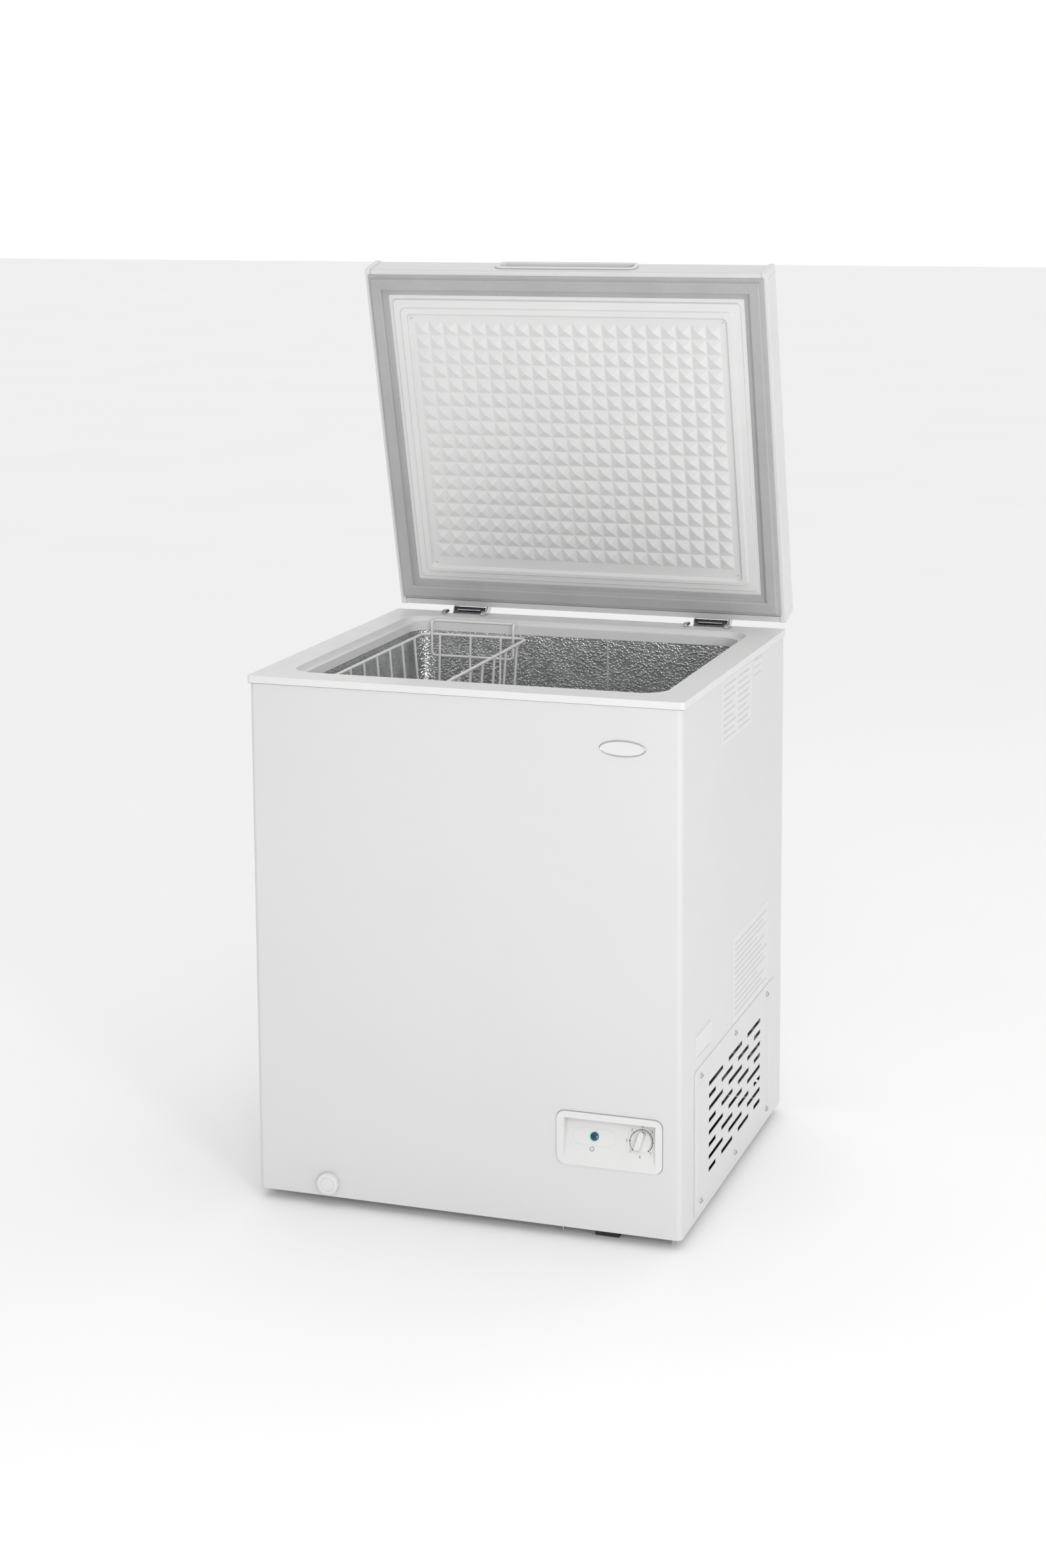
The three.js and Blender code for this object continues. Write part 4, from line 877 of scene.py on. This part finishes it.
# ------------------------------------------------------------------ drain, badge, vents and labels
def build_drain():
    r = DRAIN["cap_r"]
    cap = [(0.0, -12.0), (5.8, -12.0), (6.4, -11.0), (6.4, 0.35), (r - 0.6, 0.35), (r, 0.9), (r, 7.9),
           (r - 0.5, 8.9), (r - 1.4, 9.4), (10.4, 9.5), (10.1, 9.2), (9.9, 8.7), (9.5, 8.7), (9.3, 9.2),
           (9.0, 9.5), (0.0, 9.6)]
    verts, faces = lathe(cap, 64)
    matrix = facing((DRAIN["x"], -HALF_D, DRAIN["z"]), (0, -1, 0))
    piece = mesh_piece("drain_cap_body", verts, faces, "drain_cap", WHITE, "white_plastic", matrix,
                       ("drain_cap",))
    soften(piece, 0.0)
    plug = [(0.0, -22.0), (5.0, -22.0), (6.1, -18.0), (6.2, 0.35), (10.6, 0.35), (11.0, 0.8), (11.0, 2.5),
            (10.4, 3.0), (3.4, 4.0), (3.0, 5.0), (3.0, 11.0), (4.6, 13.0), (6.8, 13.9), (7.0, 14.4),
            (7.0, 16.4), (6.4, 17.0), (0.0, 17.0)]
    verts, faces = lathe(plug, 40)
    matrix = CAB @ Matrix.Translation((DRAIN["x"] * MM, DRAIN["plug_y"] * MM, LINER["floor"] * MM))
    piece = mesh_piece("drain_plug_body", verts, faces, "drain_plug", WHITE, "white_plastic", matrix,
                       ("drain_plug",))
    soften(piece, 0.0)
    dress("drain_tube", WHITE, 0.3)


def build_badge():
    """Blank oval plate in a raised rim."""
    n = EMBLEM["points"]
    x, z = EMBLEM["x"], EMBLEM["z"]
    turns = [2 * math.pi * i / n for i in range(n)]
    rings = []
    for dx, dz, out in ((0.0, 0.0, 0.3), (0.0, 0.0, 1.1), (0.4, 0.4, 1.6), (1.1, 1.1, 1.75), (1.8, 1.8, 1.55),
                        (2.1, 2.1, 1.1), (2.8, 2.6, 1.0)):
        a, b = EMBLEM["half_w"] - dx, EMBLEM["half_h"] - dz
        rings.append([(x + a * math.cos(t), -HALF_D - out, z + b * math.sin(t)) for t in turns])
    verts, faces = loft(rings, cap_last=True)
    piece = mesh_piece("blank_badge", verts, faces, "cabinet", BADGE, "badge_metal", CAB, ("front_badge",))
    piece.data.materials.append(WHITE)
    for face in piece.data.polygons[-(n + 1):]:
        face.material_index = 1
    soften(piece, 0.0)


def build_vent_rib(name, y0, y1):
    middle, half = (y0 + y1) / 2, (y1 - y0) / 2
    # Distance in from the rib's outline, corner radius, and height off the cabinet's side.
    steps = ((0.0, 11.0, 0.95), (0.9, 10.6, 1.45), (2.4, 9.6, 2.5), (3.6, 8.8, 2.8), (5.0, 8.0, 2.85))
    rings = []
    for d, r, out in steps:
        outline = rounded(half - d, VENT["rib_half_h"] - d, r, middle, VENT["z"], 8)
        rings.append([(HALF_W + out, y, z) for y, z in outline])
    verts, faces = loft(rings, cap_last=True)
    soften(mesh_piece(name, verts, faces, "cabinet", ENAMEL, "steel"), 0.0)


def build_vent():
    outlines = [rounded(VENT["half_l"], VENT["half_h"], 8.0, VENT["middle"], VENT["z"], 6)]
    for row in range(VENT_SLOT["rows"]):
        z = VENT["z"] + (row - (VENT_SLOT["rows"] - 1) / 2) * VENT_SLOT["pitch"] + VENT_SLOT["lift"]
        for y0, y1 in VENT_SLOT["odd"] if row % 2 else VENT_SLOT["even"]:
            middle = VENT["y"] + (y0 + y1) / 2
            outlines.append(rounded((y1 - y0) / 2, VENT_SLOT["half"], VENT_SLOT["corner"], middle, z, 4))
    matrix = LABEL_M @ Matrix.Translation((0, 0, 0.05 * MM))
    sheet("vent_grille", outlines, 1.0, 0.3, "cabinet", ENAMEL, matrix, ("side_vent_panel",))
    for k, (y0, y1) in enumerate(VENT["ribs"]):
        build_vent_rib(f"vent_rib_{k + 1}", y0, y1)
    places = [(y, up * VENT["screw_z"]) for up in (-1, 1) for y in VENT["screw_y"]]
    for i, (dy, dz) in enumerate(places):
        point = (HALF_W + 1.1, VENT["y"] + dy, VENT["z"] + dz)
        build_screw(f"vent_panel_screw_{i + 1}", point, (1, 0, 0), "cabinet",
                    replaces=(f"vent_screw_{i + 1}",), metal=ZINC)


def build_louvre_hoods():
    """Pressed hoods over the rear sheet's openings, open along their lower edges."""
    verts, faces, columns, rows = [], [], 14, 4
    for x0 in LOUVRE["columns"]:
        for row in range(LOUVRE["rows"]):
            z = LOUVRE["bottom"] + row * LOUVRE["pitch"]
            start = len(verts)
            for j in range(rows + 1):
                fall = j / rows
                for i in range(columns + 1):
                    part = i / columns
                    x = x0 - LOUVRE["cover"] + (LOUVRE["length"] + 2 * LOUVRE["cover"]) * part
                    rise = LOUVRE["rise"] * min(1.0, min(part, 1 - part) * 9.0) ** 0.5 * fall ** 0.7
                    verts.append((x, HALF_D + 0.15 + rise, z + 5.6 - LOUVRE["drop"] * fall))
            for j in range(rows):
                for i in range(columns):
                    a = start + j * (columns + 1) + i
                    faces.append((a, a + 1, a + columns + 2, a + columns + 1))
    piece = mesh_piece("rear_louvre_hoods", verts, faces, "cabinet", ENAMEL, "steel")
    solid = piece.modifiers.new("sheet", "SOLIDIFY")
    solid.thickness = 0.5 * MM
    solid.offset = 1.0


def build_label(name, span_y, span_z, bars, columns):
    """Blank adhesive plate on the right side with pale bars and no lettering."""
    (y0, y1), (z0, z1) = span_y, span_z
    width, height = y1 - y0, z1 - z0
    plate = rounded(width / 2, height / 2, 2.0, (y0 + y1) / 2, (z0 + z1) / 2, 4)
    matrix = LABEL_M @ Matrix.Translation((0, 0, 0.02 * MM))
    sheet(name, [plate], 0.2, 0.04, "cabinet", FILM, matrix)
    verts, faces = [], []
    x, half = HALF_W + 0.26, min(height * 0.26 / bars, 1.5)
    shares = (1.0, 0.82, 0.93, 0.7, 0.97, 0.88)
    for column in range(columns):
        left = y0 + width * (0.06 + column * 0.94 / columns)
        span = width * (0.94 / columns - 0.06)
        for i in range(bars):
            z = z1 - height * (0.1 + 0.82 * i / max(bars - 1, 1))
            right = left + span * shares[(i * 5 + column * 2) % len(shares)]
            a = len(verts)
            verts += [(x, left, z - half), (x, right, z - half), (x, right, z + half), (x, left, z + half)]
            faces.append((a, a + 1, a + 2, a + 3))
    mesh_piece(name + "_bars", verts, faces, "cabinet", GREY_INK, "steel", smooth=False)


# ------------------------------------------------------------------ cabinet
def build_seams():
    """The liner's lapped joint, and a dark grey bead that paints the shadow in the groove between the collar
    and the wrapper.
    """
    inner = LINER["half_d"] - 0.12
    section = ((-1.4, 0.0), (-1.1, 0.25), (1.1, 0.25), (1.4, 0.0))
    verts = []
    for z in (LINER["bay_step"], LINER["top"]):
        verts += [(LINER["seam_x"] + dx, inner - out, z) for dx, out in section]
    faces = [(i, i + 1, i + 5, i + 4) for i in range(3)]
    mesh_piece("liner_seam", verts, faces, "cabinet", SEAM_METAL, "embossed_aluminium", smooth=False)
    # painted shadow: a thin dark bead just under the collar's lower edge
    x, y, z = HALF_W + 0.35, HALF_D + 0.35, TOP - 10.6
    path = [(-x, HALF_D - 2, z), (-x, -y, z), (x, -y, z), (x, HALF_D - 2, z)]
    wires("collar_shadow_line", [(path, False)], 0.45, "cabinet", SHADOW_LINE_GREY, CAB, (), 2)


def build_cabinet():
    dress("outer_wrapper", ENAMEL, 0.35, 2)
    dress("rear_panel", ENAMEL, 0.3, 1)
    dress("base_panel", ZINC, 0.3, 1)
    dress("top_collar", COLLAR, 0.9, 3)
    dress("inner_liner", STUCCO, 0.0)
    dress("insulation_foam", FOAM)
    dress("condenser_coil", COPPER)
    dress("evaporator_coil", ZINC)
    dress("bay_wall", BLACK, 0.3, 1)
    dress("compressor_tray", ZINC, 0.6)
    dress("compressor", BLACK_STEEL, 0.8, 3)
    dress("filter_drier", COPPER, 0.5)
    dress("discharge_pipe", COPPER)
    dress("suction_pipe", COPPER)
    dress("cord_inlet_bush", RUBBER, 0.5, 3)
    for name in ("tray_foot_front", "tray_foot_rear", "foot_left_front", "foot_left_rear"):
        dress(name, BLACK, 0.7, 3)
    for i in range(4):
        dress(f"compressor_grommet_{i + 1}", RUBBER, 0.4)
    build_seams()
    build_drain()
    build_badge()
    build_vent()
    build_louvre_hoods()
    for plate in PLATES:
        build_label(*plate)


# ------------------------------------------------------------------ studio
def build_floor():
    bpy.ops.mesh.primitive_plane_add(size=60.0)
    floor = bpy.context.active_object
    floor.name = "studio_floor"
    floor.data.materials.append(floor_paper())


def world_fade(tree, coord, direction, limits):
    """Light strength that changes with how far a direction points along the given one."""
    towards = tree.nodes.new("ShaderNodeVectorMath")
    towards.operation = "DOT_PRODUCT"
    towards.inputs[1].default_value = Vector(direction).normalized()
    ramp = tree.nodes.new("ShaderNodeMapRange")
    for socket, value in zip(("From Min", "From Max", "To Min", "To Max"), limits):
        ramp.inputs[socket].default_value = value
    tree.links.new(coord, towards.inputs[0])
    tree.links.new(towards.outputs["Value"], ramp.inputs["Value"])
    return ramp.outputs["Result"]


def build_world():
    """Soft white surroundings, darker to the left front and a little dimmer to the right."""
    world = bpy.data.worlds.new("studio_world")
    bpy.context.scene.world = world
    world.use_nodes = True
    tree = world.node_tree
    background = tree.nodes["Background"]
    background.inputs["Color"].default_value = (1, 1, 1, 1)
    coord = tree.nodes.new("ShaderNodeTexCoord").outputs["Generated"]
    both = tree.nodes.new("ShaderNodeMath")
    both.operation = "MULTIPLY"
    tree.links.new(world_fade(tree, coord, (-0.88, -0.47, -0.1), (0.0, 0.85, 1.08, 0.46)), both.inputs[0])
    tree.links.new(world_fade(tree, coord, (1.0, 0.0, 0.0), (0.25, 0.9, 1.0, 0.7)), both.inputs[1])
    tree.links.new(both.outputs["Value"], background.inputs["Strength"])


def build_lights():
    for name, place, target, size, power in LIGHTS:
        data = bpy.data.lights.new(name, "AREA")
        data.shape = "DISK"
        data.size = size
        data.energy = power
        obj = bpy.data.objects.new(name, data)
        bpy.context.scene.collection.objects.link(obj)
        obj.location = place
        obj.rotation_euler = (Vector(target) - Vector(place)).to_track_quat("-Z", "Y").to_euler()


def build_studio():
    build_floor()
    build_world()
    build_lights()
    view = bpy.context.scene.view_settings
    view.view_transform = "Standard"
    view.look = "None"
    view.exposure = 0.0
    view.gamma = 1.0


def build_camera():
    azimuth, elevation, roll = (math.radians(CAMERA[key]) for key in ("azimuth", "elevation", "roll"))
    level = math.cos(elevation)
    back = Vector((math.sin(azimuth) * level, -math.cos(azimuth) * level, math.sin(elevation)))
    right = Vector((math.cos(azimuth), math.sin(azimuth), 0.0))
    up = back.cross(right)
    turned_right = right * math.cos(roll) + up * math.sin(roll)
    turned_up = up * math.cos(roll) - right * math.sin(roll)
    data = bpy.data.cameras.new("camera")
    data.sensor_width = 36.0
    data.lens = CAMERA["lens"]
    data.shift_y = CAMERA["shift"]
    camera = bpy.data.objects.new("camera", data)
    bpy.context.scene.collection.objects.link(camera)
    matrix = Matrix((turned_right, turned_up, back)).transposed().to_4x4()
    matrix.translation = Vector(CAMERA["metres"])
    camera.matrix_world = matrix
    bpy.context.scene.camera = camera


build_camera()
build_studio()
build_lid()
build_hinges()
build_basket()
build_panel()
build_knob()
build_cabinet()

bpy.context.view_layer.update()
